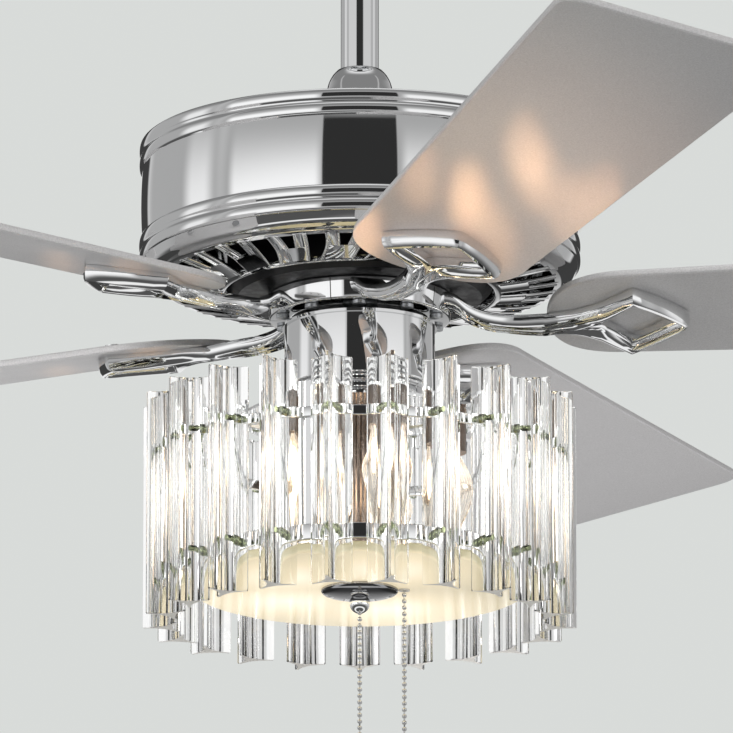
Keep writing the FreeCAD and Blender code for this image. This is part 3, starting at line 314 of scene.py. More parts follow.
# Housing bottom: a pressed chrome ring with a narrow cove and a slope pierced by twenty long vents, with a
# short one between each pair. The press rolled the vents' edges, and the black motor shows between them.
vent_count = 20
slope_low, slope_high = (92.0, -314.0), (137.5, -304.5)


def slope_height(radius):
    """The slope's own height at a radius."""
    share = (radius - slope_low[0]) / (slope_high[0] - slope_low[0])
    return slope_low[1] + (slope_high[1] - slope_low[1]) * share


cove = eased([(148, -294), (144.6, -300.6), (140, -302.5), (137.5, -304.5), (132.4, slope_height(132.4))],
             [0, 3.4, 1.6, 1.2, 0], 8)
cove_back = [(132.4, -304.2), (137.5, -303.2), (140, -301.2), (145.8, -292.8), (145.8, -284), (147, -284),
             (147, -294)]
collar = eased([(97.2, -312.9), (95, -313.9), (92.6, -314.4), (91.4, -313.6), (92, -312.6), (97.2, -311.4)],
               [0, 1, 0.8, 0.5, 0.3, 0], 3)
verts, faces = lathe_mesh([cove + cove_back, collar], segments=240)


def add_tube(verts, faces, sections):
    """Close a row of like cross sections into a skin with two end caps."""
    start = len(verts)
    count = len(sections[0])
    for section in sections:
        verts.extend(section)
    for row in range(len(sections) - 1):
        for index in range(count):
            following = (index + 1) % count
            near, far = start + row * count, start + (row + 1) * count
            faces.append((near + index, near + following, far + following, far + index))
    faces.append(tuple(start + index for index in reversed(range(count))))
    faces.append(tuple(start + (len(sections) - 1) * count + index for index in range(count)))


vent_start, vent_end = 96.5, 133.0
short_start = (vent_start + vent_end) / 2
vent_lean = 12.2
vent_lap = 0.6
# A vent's rolled edge in (distance from the edge, lift)
rolled = [(0.0, 1.3), (-0.1, -0.1), (0.3, -0.5), (1.1, -0.66), (1.9, -0.45), (2.5, -0.2)]


def vent_side(along, side, short):
    """One side of a vent at a distance along it: how far across its own radius the edge lies."""
    share = (along - vent_start) / (vent_end - vent_start)
    if short:
        half = 2.5 + 2.5 * (along - short_start) / (vent_end - short_start)
    else:
        half = 3.5 + 3.0 * share + 0.9 * math.sin(math.pi * share)
    return vent_lean * share + 1.4 * math.sin(math.pi * share) + side * half


def rib_sections(left, right, start, end, steps=12):
    """Cross sections of the metal between two vents' sides, each given as (turn, side, short)."""
    sections = []
    for step in range(steps + 1):
        along = start + (end - start) * step / steps
        spots = []
        for turn, side, short in (left, right):
            across = vent_side(along, side, short)
            spots.append(Vector((along * math.cos(turn) - across * math.sin(turn),
                                 along * math.sin(turn) + across * math.cos(turn))))
        width = (spots[1] - spots[0]).length
        profile = rolled + [(width / 2, -0.1)] + [(width - across, lift) for across, lift in reversed(rolled)]
        section = []
        for across, lift in profile:
            spot = spots[0].lerp(spots[1], across / width)
            section.append((spot.x, spot.y, slope_height(spot.length) + lift))
        sections.append(section)
    return sections


for vent in range(vent_count):
    here = math.tau * vent / vent_count
    between = here + math.pi / vent_count
    following = here + math.tau / vent_count
    left, right = (here, 1, False), (following, -1, False)
    land = rib_sections(left, right, vent_start - vent_lap, short_start + 0.4)
    first_rib = rib_sections(left, (between, -1, True), short_start, vent_end + vent_lap)
    second_rib = rib_sections((between, 1, True), right, short_start, vent_end + vent_lap)
    for rib in (land, first_rib, second_rib):
        add_tube(verts, faces, rib[::-1])
vent_ring = put_in_scene("vent_ring", verts, faces, chrome_plate, sharp=40.0)
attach(vent_ring, "hanging_frame")
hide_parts("housing_bottom")

# Blade irons: five zinc castings, polished and chrome plated. Each has a foot that makes a fifth of the ring
# under the rotor, and a moulded arm that curls under the blade and parts into an open, pointed loop.
dress(zinc_plate, "iron_screws")
blade_count = 5
blade_rise = math.radians(2.1)
blade_pitch = math.radians(11.2)
blade_level = -332.0
first_heading = math.radians(-72.5)
blade_plane = (Matrix.Translation((0, 0, blade_level)) @ Matrix.Rotation(-blade_rise, 4, "Y")
               @ Matrix.Rotation(-blade_pitch, 4, "X"))
foot_section = eased([(54, -316.2), (63, -316.2), (61.4, -331.6), (46, -331.6), (46, -316.2), (54, -316.2)],
                     [0, 1.0, 1.4, 2.0, 1.2, 0], 4)[:-1]
foot_sweep = math.radians(71.4)
foot_steps = 36
# The arm in (outwards, sideways, top height, half width): from one side of the ring it dips under the blade
arm_line = [(55, -15, -317.6, 10.4), (64, -14.2, -319.0, 10.0), (74, -11, -325.6, 9.5),
            (85, -6.8, -329.0, 9.0), (97, -3.4, -330.2, 8.7), (112, -1, -330.7, 8.6), (128, 0, -330.6, 9.0)]
# Half of the loop in blade measure: the outer edge and the inner edge, from the arm round to the tip
loop_line = [((136, 10.0), (136, 0)), ((144, 12.0), (144, 0)), ((151, 15.0), (151, 0)),
             ((157.5, 18.9), (157.5, 0)), ((163.5, 23.4), (163.5, 0.0)), ((168, 27.4), (167.5, 5.0)),
             ((173, 32.0), (172.5, 11.8)), ((178, 36.6), (178, 19.4)), ((184.3, 42.4), (184.3, 28.6)),
             ((184.9, 42.2), (184.7, 28.6)), ((191, 37.6), (189.6, 24.6)), ((198, 31.6), (196, 18.8)),
             ((206, 24.0), (203.5, 11.6)), ((212.6, 16.6), (209.4, 5.8)), ((217.6, 10.2), (213.4, 2.2)),
             ((221.4, 5.0), (215.6, 0.6)), ((223.4, 0.0), (216.2, 0.0))]
# Their cross section from the inner edge to the outer, in (share of the width, depth)
loop_section = [(0.0, 0.0), (0.0, 5.4), (0.1, 6.6), (0.2, 6.8), (0.27, 8.6), (0.4, 10.6), (0.58, 11.6),
                (0.75, 11.2), (0.9, 9.0), (0.98, 5.6), (1.0, 2.2), (0.97, 0.0)]
arm_section = [(0.0, 0.0), (0.0, 10.4), (0.12, 10.0), (0.21, 8.8), (0.28, 7.4), (0.38, 8.4), (0.54, 9.9),
               (0.72, 9.2), (0.88, 7.0), (0.97, 4.4), (1.0, 1.8), (0.94, 0.0)]
# Where the arm leans into the blade's pitch, where its section turns into the loop's, and the loop's seat
lean_start, lean_end = 98, 128
loop_start, loop_end = 146, 170
loop_seat = -2.7


def smooth_line(points, steps=6):
    """A soft line through points of any number of parts."""
    run = []
    for index in range(len(points) - 1):
        four = [Vector(points[min(max(index + shift, 0), len(points) - 1)]) for shift in (-1, 0, 1, 2)]
        for step in range(steps):
            share = step / steps
            run.append(0.5 * (2 * four[1] + (four[2] - four[0]) * share
                              + (2 * four[0] - 5 * four[1] + 4 * four[2] - four[3]) * share ** 2
                              + (3 * four[1] - four[0] - 3 * four[2] + four[3]) * share ** 3))
    return run + [Vector(points[-1])]


def way_between(value, low, high):
    """How far a value lies on its way between two others, from nought to one."""
    return min(max((value - low) / (high - low), 0), 1)


def iron_half(side):
    """Cross sections of one side of the arm and the loop, from the ring to the tip."""
    sections = []
    for x, y, top, half in smooth_line(arm_line, 5)[:-1]:
        share = way_between(x, lean_start, lean_end)
        lean = blade_pitch * share * share * (3 - 2 * share)
        section = []
        for across, depth in arm_section:
            sideways = side * across * half
            section.append((x, y + sideways * math.cos(lean), top - depth - sideways * math.sin(lean)))
        sections.append(section)
    for outer, inner in loop_line:
        share = way_between(outer[0], loop_start, loop_end)
        section = []
        for plain, looped in zip(arm_section, loop_section):
            across = plain[0] + (looped[0] - plain[0]) * share
            depth = plain[1] + (looped[1] - plain[1]) * share
            spot = Vector(inner).lerp(Vector(outer), across)
            section.append(tuple(blade_plane @ Vector((spot.x, side * spot.y, loop_seat - depth))))
        sections.append(section)
    return sections if side > 0 else [section[::-1] for section in sections]


def iron_mesh():
    """Points and faces of one iron along +X."""
    verts, faces = [], []
    sections = []
    for step in range(foot_steps + 1):
        turn = -foot_sweep / 2 + foot_sweep * step / foot_steps
        sections.append([(radius * math.cos(turn), radius * math.sin(turn), height)
                         for radius, height in foot_section])
    add_tube(verts, faces, sections)
    for side in (1, -1):
        add_tube(verts, faces, iron_half(side))
    return verts, faces


def blade_heading(number):
    """The turn that takes a piece along +X to its own blade."""
    return Matrix.Rotation(first_heading + math.tau * (number - 1) / blade_count, 4, "Z")


def at_blade(number, verts):
    """Points along +X, turned to their own blade."""
    heading = blade_heading(number)
    return [heading @ Vector(vert) for vert in verts]


iron_verts, iron_faces = iron_mesh()
for number in range(1, blade_count + 1):
    turned = at_blade(number, iron_verts)
    iron = put_in_scene("iron_casting_%d" % number, turned, iron_faces, chrome_plate, sharp=38.0)
    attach(iron, "rotor")
    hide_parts("blade_iron_%d" % number)

# Blades: five boards sprayed satin silver all over, with softly rounded edges.
# Each tapers towards the motor and is held from above by three screws with chromed heads.
dress(chrome_plate, "blade_screws")


def add_grain(tree, scale):
    """Fine noise that stays with the piece."""
    place = tree.nodes.new("ShaderNodeTexCoord")
    grain = tree.nodes.new("ShaderNodeTexNoise")
    grain.inputs["Scale"].default_value = scale
    tree.links.new(place.outputs["Object"], grain.inputs["Vector"])
    return grain.outputs["Fac"]


def make_silver_spray():
    """Satin silver spray paint on a smooth board: metal flake, a little orange peel and an uneven sheen."""
    material, tree, shader = new_material("silver_spray", {"Metallic": 0.4})
    flake = add_grain(tree, 900.0)
    add_colours(tree, flake, shader.inputs["Base Color"],
                (0.3, (0.455, 0.45, 0.455)), (0.7, (0.56, 0.555, 0.56)))
    add_marks(tree, shader, 9.0, 0.36, 0.46)
    add_relief(tree, shader, flake, 0.08, 0.0004)
    return material


silver_spray = make_silver_spray()


def root_curve(side, steps=18):
    """Half of the blade's rounded root, from its tip to its straight side."""
    tip, corner, shoulder = Vector((127, 0)), Vector((127, side * 61)), Vector((188, side * 59.4))
    shares = [step / steps for step in range(steps + 1)]
    return [tip * (1 - share) ** 2 + corner * 2 * share * (1 - share) + shoulder * share ** 2
            for share in shares]


blade_far = eased([(400, 67.8), (658, 78), (658, -78), (400, -67.8)], [0, 18, 18, 0], 10)
blade_outline = root_curve(1) + blade_far + root_curve(-1)[:0:-1]
# The rounded edge from top to bottom in (inset, height)
edge_steps = [(1.2, 2.5), (0.5, 2.3), (0.0, 1.7), (0.0, -1.6), (0.9, -2.5)]


def blade_mesh():
    """Points and faces of one blade along +X: a board whose edge is rounded over above and below."""
    count = len(blade_outline)
    inwards = []
    for index in range(count):
        before, after = Vector(blade_outline[index - 1]), Vector(blade_outline[(index + 1) % count])
        along = (after - before).normalized()
        inwards.append(Vector((along.y, -along.x)))
    sections = []
    for inset, height in edge_steps:
        edge = [Vector(spot) + way * inset for spot, way in zip(blade_outline, inwards)]
        sections.append([tuple(blade_plane @ Vector((spot.x, spot.y, height))) for spot in edge])
    verts, faces = [], []
    add_tube(verts, faces, sections)
    return verts, faces


blade_verts, blade_faces = blade_mesh()
for number in range(1, blade_count + 1):
    turned = at_blade(number, blade_verts)
    board = put_in_scene("blade_board_%d" % number, turned, blade_faces, silver_spray, sharp=40.0)
    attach(board, "rotor")
    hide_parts("blade_%d" % number)

# Switch housing: a deep drawn chrome can under a steel plate, held up by the nut on the motor's shaft.
# It hides two moulded pull switches and the motor's capacitor.
dress(chrome_plate, "switch_plate")
dress(black_nylon, "capacitor", "pull_switch_fan", "pull_switch_light")
can_run = eased([(51, -338), (51, -381), (41, -381), (41, -379.8), (49.8, -379.8), (49.8, -338)],
                [0, 2.6, 0.3, 0.3, 1.6, 0], 6)
switch_can = lathe("switch_can", chrome_plate, can_run)
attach(switch_can, "hanging_frame")
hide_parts("switch_housing")

# Light hub, plate and cage: turned chrome rings screwed under the switch housing carry a steel plate,
# and five straps from the plate hold the two chromed bands that the crystal hangs on.
dress(zinc_plate, "hub_screws")
hub_side = [(47, -381), (47, -384), (40, -384)]
hub_radii = [0, 0.8, 0.4]
ring_radius, groove_radius = 40, 36.5
for ring_top in (-384, -390, -396):
    groove_top, groove_foot = ring_top - 4, ring_top - 6
    hub_side += [(ring_radius, groove_top), (groove_radius, groove_top), (groove_radius, groove_foot),
                 (ring_radius, groove_foot)]
    hub_radii += [1.4, 0.4, 0.4, 1.4]
hub_side = hub_side[:-3] + [(5, -400), (5, -381)]
hub_radii = hub_radii[:-3] + [0, 0]
hub_rings = lathe("hub_rings", chrome_plate, eased(hub_side, hub_radii, 5), segments=96)
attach(hub_rings, "hanging_frame")
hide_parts("light_hub")
dress(chrome_plate, "light_plate", "cage_straps")
hoops = (("upper_hoop", "upper_band", -420, -427), ("lower_hoop", "lower_band", -500.3, -510.8))
for name, node, top, foot in hoops:
    hoop_run = eased([(117.6, top), (119, top), (119, foot), (116.5, foot), (116.5, top), (117.6, top)],
                     [0, 0.8, 0.8, 0.8, 0.8, 0], 4)[:-1]
    hoop = lathe(name, chrome_plate, hoop_run, segments=160)
    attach(hoop, "hanging_frame")
    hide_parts(node)

# Lamps: five brown moulded candle sockets under the plate, each with a small flame-shaped bulb of clear
# blown glass. The bulbs are lit, and a white-hot core glows inside each.
lamp_count = 5
lamp_circle = 60
lamp_steps = 40
lamp_spots = circle(lamp_circle, lamp_count)
brown_moulding = make_moulding("brown_moulding", (0.17, 0.12, 0.09), 0.3, 0.42, 160.0)
dress(brown_moulding, "lamp_sockets")


def height_share(tree, low, high):
    """How far up a spot lies between two heights, from nought to one."""
    place = tree.nodes.new("ShaderNodeTexCoord")
    parts = tree.nodes.new("ShaderNodeSeparateXYZ")
    tree.links.new(place.outputs["Object"], parts.inputs["Vector"])
    share = tree.nodes.new("ShaderNodeMapRange")
    share.inputs["From Min"].default_value = low
    share.inputs["From Max"].default_value = high
    tree.links.new(parts.outputs["Z"], share.inputs["Value"])
    return share.outputs["Result"]


def make_glow(name, values, low, high, *stops):
    """The material of a lit piece, with its glow laid along its height."""
    material, tree, shader = new_material(name, values)
    add_colours(tree, height_share(tree, low, high), shader.inputs["Emission Color"], *stops)
    return material


# The bulb's clear glass is brightest round its filament, warm at its neck and clear at its tip
clear_values = {"Base Color": (0.98, 0.95, 0.9, 1), "Roughness": 0.05, "IOR": 1.18,
                "Transmission Weight": 0.9, "Emission Strength": 0.3}
lit_glass = make_glow("lit_glass", clear_values, -0.486, -0.424,
                      (0, (0.01, 0.006, 0.003)), (0.54, (0.03, 0.018, 0.01)), (0.68, (0.4, 0.25, 0.13)),
                      (0.78, (1.0, 0.88, 0.70)), (0.87, (0.45, 0.29, 0.15)), (1, (0.12, 0.06, 0.03)))
# The core round its filament is white in its middle and amber at its ends
core_values = {"Base Color": (0.9, 0.6, 0.35, 1), "Roughness": 0.6, "Emission Strength": 7.0}
amber, white_hot = (0.55, 0.26, 0.10), (1.0, 0.85, 0.64)
hot_core = make_glow("hot_core", core_values, -0.453, -0.431,
                     (0, amber), (0.25, white_hot), (0.75, white_hot), (1, amber))
bulb_curve = smooth_line([(6.6, -424.6), (8, -427), (13, -436), (16.6, -445), (16.9, -451), (14.6, -461),
                          (10, -472), (5.4, -480.6), (2.5, -484.4)], 5)
bulb_run = [(0, -406.5), (6.2, -406.5), (6.2, -424)] + bulb_curve + [(0, -485)]
core_run = [(0, -432), (2.6, -432.8), (4.2, -435.6), (4.7, -442), (4.2, -448.2), (2.6, -451), (0, -451.8)]
core_faces = (len(core_run) - 1) * lamp_steps


def add_copy(verts, faces, one, skin, place):
    """Add a copy of a mesh at a place."""
    start = len(verts)
    verts += [(x + place[0], y + place[1], z + place[2]) for x, y, z in one]
    faces += [tuple(start + index for index in face) for face in skin]


one_bulb, bulb_skin = lathe_mesh([bulb_run, core_run], segments=lamp_steps)
bulb_verts, bulb_faces = [], []
for spot in lamp_spots:
    add_copy(bulb_verts, bulb_faces, one_bulb, bulb_skin, (*spot, 0))
flame_bulbs = put_in_scene("flame_bulbs", bulb_verts, bulb_faces, lit_glass, sharp=40.0)
flame_bulbs.data.materials.append(hot_core)
lamp_faces = len(bulb_skin)
for face in flame_bulbs.data.polygons:
    if face.index % lamp_faces >= lamp_faces - core_faces:
        face.material_index = 1
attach(flame_bulbs, "hanging_frame")
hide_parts("lamp_bulbs")

# Crystal: twenty-one cast prisms of clear glass with three hollow sides, polished, their ends chamfered and
# the lower cut ground pale. Each hangs on two short pins from the cage's bands, with one corner outwards.


def make_crystal():
    """Clear cast crystal with a polished skin and faint casting waves."""
    values = {"Base Color": (0.99, 0.995, 0.99, 1), "Transmission Weight": 1.0, "IOR": 1.5}
    material, tree, shader = new_material("clear_crystal", values)
    waves = add_marks(tree, shader, 70.0, 0.0, 0.03)
    add_relief(tree, shader, waves, 0.06, 0.0006)
    return material


def make_ground_end():
    """A saw-cut end of a prism, ground to a pale satin with fine wheel marks."""
    material, tree, shader = new_material("ground_crystal", {"Transmission Weight": 0.25})
    wheel_marks = add_marks(tree, shader, 260.0, 0.3, 0.5)
    add_colours(tree, wheel_marks, shader.inputs["Base Color"],
                (0, (0.80, 0.76, 0.70)), (1, (0.97, 0.95, 0.91)))
    return material


clear_crystal = make_crystal()
ground_crystal = make_ground_end()
prism_count = 21
prism_circle = 131.2
prism_reach = 15.4
half_flat = 1.2
hollow_radius = 22.0
hollow_steps = 12
chamfer = 0.55


def star_corner(way, shrink):
    """The right and left ends of a corner's flat, drawn in by a chamfer."""
    out = Vector((math.cos(way), math.sin(way)))
    side = Vector((-out.y, out.x)) * (half_flat - shrink * 0.4)
    return out * (prism_reach - shrink) - side, out * (prism_reach - shrink) + side


def star_outline(shrink):
    """The prism's section about its own middle: three flat corners joined by hollow sides."""
    outline = []
    corners = [star_corner(math.radians(angle), shrink) for angle in (0, 120, 240)]
    for index, (right, left) in enumerate(corners):
        outline += [right, left]
        end = corners[(index + 1) % len(corners)][0]
        chord = end - left
        inwards = -(left + end).normalized()
        sag = hollow_radius - math.sqrt(hollow_radius ** 2 - chord.length ** 2 / 4)
        for step in range(1, hollow_steps):
            share = step / hollow_steps
            dip = sag * (1 - (2 * share - 1) ** 2)
            outline.append(left + chord * share + inwards * dip)
    return outline


prism_verts, prism_faces = [], []
full, small = star_outline(0.0), star_outline(chamfer)
prism_turns = [math.pi / 2 + math.tau * prism / prism_count for prism in range(prism_count)]
prism_spins = [Matrix.Rotation(turn, 4, "Z") for turn in prism_turns]
for spin in prism_spins:
    sections = []
    for outline, height in ((small, -389.3), (full, -390.0), (full, -542.0), (small, -542.7)):
        sections.append([tuple(spin @ Vector((prism_circle + spot.x, spot.y, height))) for spot in outline])
    add_tube(prism_verts, prism_faces, sections[::-1])
crystal_rods = put_in_scene("crystal_rods", prism_verts, prism_faces, clear_crystal, sharp=25.0)
crystal_rods.data.materials.append(ground_crystal)
for face in crystal_rods.data.polygons:
    if face.normal.z < -0.9:
        face.material_index = 1
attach(crystal_rods, "hanging_frame")
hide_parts("crystal_prisms")
pin_steel = make_metal("pin_steel", (0.26, 0.29, 0.17), 0.1, 0.2, 300.0, 0.3)
# Each pin's side in (distance from the axis, radius), from the band into the prism
pin_side = [(119, 2.0), (119.6, 2.0), (119.8, 2.7), (120.5, 3.2), (125.4, 3.2), (126.1, 2.7), (126.3, 2.0),
            (131.2, 2.0)]
pin_steps = 20
pin_verts, pin_faces = [], []
for spin in prism_spins:
    for height in (-423.5, -505.55):
        sections = []
        for along, radius in pin_side:
            ring = circle(radius, pin_steps)
            sections.append([tuple(spin @ Vector((along, across, height + lift))) for across, lift in ring])
        add_tube(pin_verts, pin_faces, sections)
barrel_pins = put_in_scene("barrel_pins", pin_verts, pin_faces, pin_steel, sharp=40.0)
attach(barrel_pins, "hanging_frame")
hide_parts("prism_pins")

# Stem, frosted disc, dish and ball: the stem hangs from the hub and carries a disc of frosted glass,
# clamped by a spun chrome dish and a turned ball. A small grommet lets the second chain through.
disc_top, disc_foot, disc_radius, disc_bore = -511.6, -518.6, 113.9, 5
# How far each painted pool of bulb light on the disc reaches, and how softly neighbouring pools merge
painted_pool_reach, painted_pool_blend = 0.085, 0.02


def make_frosted_glass_painted_glow():
    """Cream frosted glass with a painted glow in its emission: a painted warm pool of bulb light under each
    bulb but the first, and a dim painted green-gold glow on its top and upper rim.
    """
    # The whole disc is given an emission: painted light standing in for the bulbs' light through the frosted
    # glass
    values = {"Roughness": 0.2, "Transmission Weight": 0.15, "Emission Strength": 0.72}
    material, tree, shader = new_material("frosted_painted_glow", values)
    place = tree.nodes.new("ShaderNodeTexCoord")
    # Painted pools of bulb light: the glow is brightest near each bulb's place under the disc
    pools = None
    for spot in lamp_spots[1:]:
        gap = tree.nodes.new("ShaderNodeVectorMath")
        gap.operation = "DISTANCE"
        gap.inputs[1].default_value = (spot[0] * mm, spot[1] * mm, disc_foot * mm)
        tree.links.new(place.outputs["Object"], gap.inputs[0])
        if pools is None:
            pools = gap.outputs["Value"]
            continue
        nearest = tree.nodes.new("ShaderNodeMath")
        nearest.operation = "SMOOTH_MIN"
        nearest.inputs[2].default_value = painted_pool_blend
        tree.links.new(pools, nearest.inputs[0])
        tree.links.new(gap.outputs["Value"], nearest.inputs[1])
        pools = nearest.outputs["Value"]
    spread = tree.nodes.new("ShaderNodeMapRange")
    spread.inputs["From Max"].default_value = painted_pool_reach
    tree.links.new(pools, spread.inputs["Value"])
    # Painted glow colours: warm pools on the underside, and a dim green-gold painted glow on the top face and
    # upper rim
    painted_glow_mix = tree.nodes.new("ShaderNodeMix")
    painted_glow_mix.data_type = "RGBA"
    painted_glow_mix.inputs["B"].default_value = (0.17, 0.16, 0.07, 1)
    tree.links.new(height_share(tree, -0.5182, -0.5166), painted_glow_mix.inputs["Factor"])
    add_colours(tree, spread.outputs["Result"], painted_glow_mix.inputs["A"],
                (0, (1.0, 0.92, 0.76)), (0.45, (0.72, 0.60, 0.40)), (1, (0.34, 0.28, 0.17)))
    tree.links.new(painted_glow_mix.outputs["Result"], shader.inputs["Emission Color"])
    frost = add_grain(tree, 700.0)
    add_colours(tree, frost, shader.inputs["Base Color"], (0, (0.60, 0.55, 0.42)), (1, (0.72, 0.67, 0.54)))
    add_relief(tree, shader, frost, 0.15, 0.0002)
    return material


frosted_painted_glow = make_frosted_glass_painted_glow()
disc_run = eased([(disc_bore, disc_top), (disc_radius, disc_top), (disc_radius, disc_foot),
                  (disc_bore, disc_foot)], [0, 2.0, 2.6, 0], 6)
frosted_disc = lathe("frosted_disc", frosted_painted_glow, disc_run, segments=160)
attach(frosted_disc, "hanging_frame")
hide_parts("glass_disc")
stem_steel = make_metal("stem_steel", (0.30, 0.24, 0.20), 0.16, 0.3, 120.0, 0.3)
white_moulding = make_moulding("white_moulding", (0.82, 0.80, 0.76), 0.3, 0.42, 160.0)
dress(stem_steel, "centre_stem")
dress(white_moulding, "chain_grommet")
dish_curve = smooth_line([(26, -520.2), (24.4, -521.6), (19.8, -522.9), (14.2, -523.7), (8.6, -524.1)], 5)
dish_run = [(5, -518.6), (25.4, -518.6), (26, -519.0)] + dish_curve + [(5, -524.1)]
# Painted shade: the dish's chrome is darkened to about a third of plain chrome, standing in for the dark
# surroundings it reflects
chrome_painted_dark = make_metal("chrome_painted_dark", (0.34, 0.34, 0.35), 0.03, 0.09, 60.0)
finial_dish = lathe("finial_dish", chrome_painted_dark, dish_run, segments=96)
ball_radius, ball_height, ball_steps = 6.9, -528.4, 24
ball_turns = [math.radians(50 + (161.4 - 50) * step / ball_steps) for step in range(ball_steps + 1)]
ball_run = [(ball_radius * math.sin(turn), ball_height + ball_radius * math.cos(turn)) for turn in ball_turns]
ball_run += [(2.2, -529.1), (5, -529.1), (5, -524.0)]
finial_ball = lathe("finial_ball", chrome_plate, ball_run, segments=64)
for piece, node in ((finial_dish, "finial_cap"), (finial_ball, "ball_finial")):
    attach(piece, "hanging_frame")
    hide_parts(node)

# Pull chains: nickel bead chain from the two pull switches, each bead crimped on the wire, with a turned
# knob. The light's chain runs down through the stem and the fan's through the disc's grommet.
bead_chain = make_metal("bead_chain_nickel", (0.80, 0.80, 0.79), 0.06, 0.16, 200.0)
bead_pitch = 4.4
bead_radius = 1.6
bead_steps = 8
link_radius = 0.5
link_steps = 6


def chain_points(name, route):
    """Points along a route's own soft curve, in millimetres."""
    curve = bpy.data.curves.new(name, "CURVE")
    curve.dimensions = "3D"
    curve.resolution_u = 24
    spline = curve.splines.new("NURBS")
    spline.points.add(len(route) - 1)
    for point, spot in zip(spline.points, route):
        point.co = (*spot, 1.0)
    spline.order_u = 3
    spline.use_endpoint_u = True
    bare = bpy.data.objects.new(name, curve)
    mesh = bpy.data.meshes.new_from_object(bare)
    points = [vert.co.copy() for vert in mesh.vertices]
    bpy.data.meshes.remove(mesh)
    bpy.data.objects.remove(bare)
    bpy.data.curves.remove(curve)
    return points


def spot_along(points, distance):
    """The place at a distance along a row of points."""
    for first, last in zip(points, points[1:]):
        step = (last - first).length
        if distance <= step:
            return first.lerp(last, distance / step if step else 0)
        distance -= step
    return points[-1]


def bead_mesh(points):
    """Beads at an even pitch along the points, with the wire between them."""
    verts, faces = [], []
    length = sum((last - first).length for first, last in zip(points, points[1:])) / mm
    count = int(length // bead_pitch)
    spare = length - count * bead_pitch
    turns = [math.pi * step / bead_steps for step in range(1, bead_steps)]
    run = [(bead_radius * math.sin(turn), bead_radius * math.cos(turn)) for turn in turns]
    one_bead, bead_skin = lathe_mesh([[(0.0, bead_radius)] + run + [(0.0, -bead_radius)]], segments=12)
    for number in range(count + 1):
        centre = spot_along(points, (spare / 2 + number * bead_pitch) * mm) / mm
        add_copy(verts, faces, one_bead, bead_skin, centre)
    ring = circle(link_radius, link_steps)
    sections = [[(spot.x / mm + x, spot.y / mm + y, spot.z / mm) for x, y in ring] for spot in points]
    add_tube(verts, faces, sections[::-1])
    return verts, faces


chain_top = -0.385
for side, across, chain_end in (("light", 0.0, -0.658), ("fan", 0.03, -0.664)):
    route = [(across, 0, chain_top), (across, 0, (chain_top + chain_end) / 2), (across, 0, chain_end)]
    points = chain_points(side + "_route", route)
    chain = put_in_scene(side + "_bead_chain", *bead_mesh(points), bead_chain, sharp=60.0)
    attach(chain, side + "_pull")
    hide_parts(side + "_chain")
    foot = chain_end / mm
    knob_curve = smooth_line([(2.2, foot), (3, foot - 1.2), (2.6, foot - 3), (3.2, foot - 5.5),
                              (4.6, foot - 9), (5, foot - 11.6), (4.6, foot - 14.6), (3, foot - 17.4)], 4)
    knob_run = [(0, foot)] + knob_curve + [(0, foot - 18)]
    knob = lathe(side + "_turned_knob", chrome_plate, knob_run, axis=(across / mm, 0.0), segments=40)
    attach(knob, side + "_pull")
    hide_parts(side + "_knob")

# Studio: a pale floor well below the fan, a pale room with soft bright windows and dark gaps that draw the
# chrome's edges, soft boxes for the boards, the lamps' warm pools on the blades, and a camera.


def make_plain(name, colour, dull):
    """A matt painted sheet with a faint mottle."""
    material, tree, shader = new_material(name, {"Roughness": dull})
    mottled = [part * 0.97 for part in colour]
    add_colours(tree, add_grain(tree, 3.0), shader.inputs["Base Color"], (0, mottled), (1, colour))
    return material


floor_reach = 2000
floor_drop = -2600
floor_steps = 96
floor_verts = [(x, y, floor_drop) for x, y in circle(floor_reach, floor_steps)]
floor_paint = make_plain("floor_paint", (0.72, 0.73, 0.72), 0.8)
floor = put_in_scene("pale_floor", floor_verts, [tuple(range(floor_steps))], floor_paint)
floor.visible_glossy = False

centre_height = -0.36


def hang_light(name, light, place):
    """Put a light in the room, itself unseen by the camera and in the chrome."""
    lamp = bpy.data.objects.new(name, light)
    lamp.matrix_world = place
    lamp.visible_camera = False
    lamp.visible_glossy = False
    bpy.context.scene.collection.objects.link(lamp)


def soft_box(name, azimuth, elevation, distance, width, height, power, colour=(1.0, 0.99, 0.97)):
    """A broad soft light that faces the fan."""
    light = bpy.data.lights.new(name, "AREA")
    light.shape = "RECTANGLE"
    light.size = width
    light.size_y = height
    light.energy = power
    light.color = colour
    turn, lift = math.radians(azimuth), math.radians(elevation)
    away = Vector((math.sin(turn) * math.cos(lift), -math.cos(turn) * math.cos(lift), math.sin(lift)))
    stand = Vector((0, 0, centre_height)) + away * distance
    hang_light(name, light, Matrix.Translation(stand) @ away.to_track_quat("Z", "Y").to_matrix().to_4x4())


soft_box("box_left", -62, 10, 3.6, 2.2, 2.6, 70)
soft_box("box_right", 62, 10, 3.6, 2.2, 2.6, 60)
soft_box("box_over", 0, 62, 3.2, 3.0, 1.6, 60)
soft_box("box_under", 150, -34, 3.0, 2.2, 1.4, 22)
soft_box("box_front", -8, -10, 4.0, 2.0, 1.4, 30)
# Each pool of light under a blade: how far along and across the blade, and its power
pool_spots = {1: [(303, -56, 0.9), (281, -14, 2.4), (388, -11, 1.3), (353, 11, 1.2), (317, 45, 1.0),
                  (346, 57, 0.9), (170, -52, 2.4), (225, 25, 0.9)],
              4: [(283, -31, 0.5), (164, 21, 0.7)],
              5: [(232, -19, 0.6), (199, 17, 0.8), (177, 50, 0.5)]}


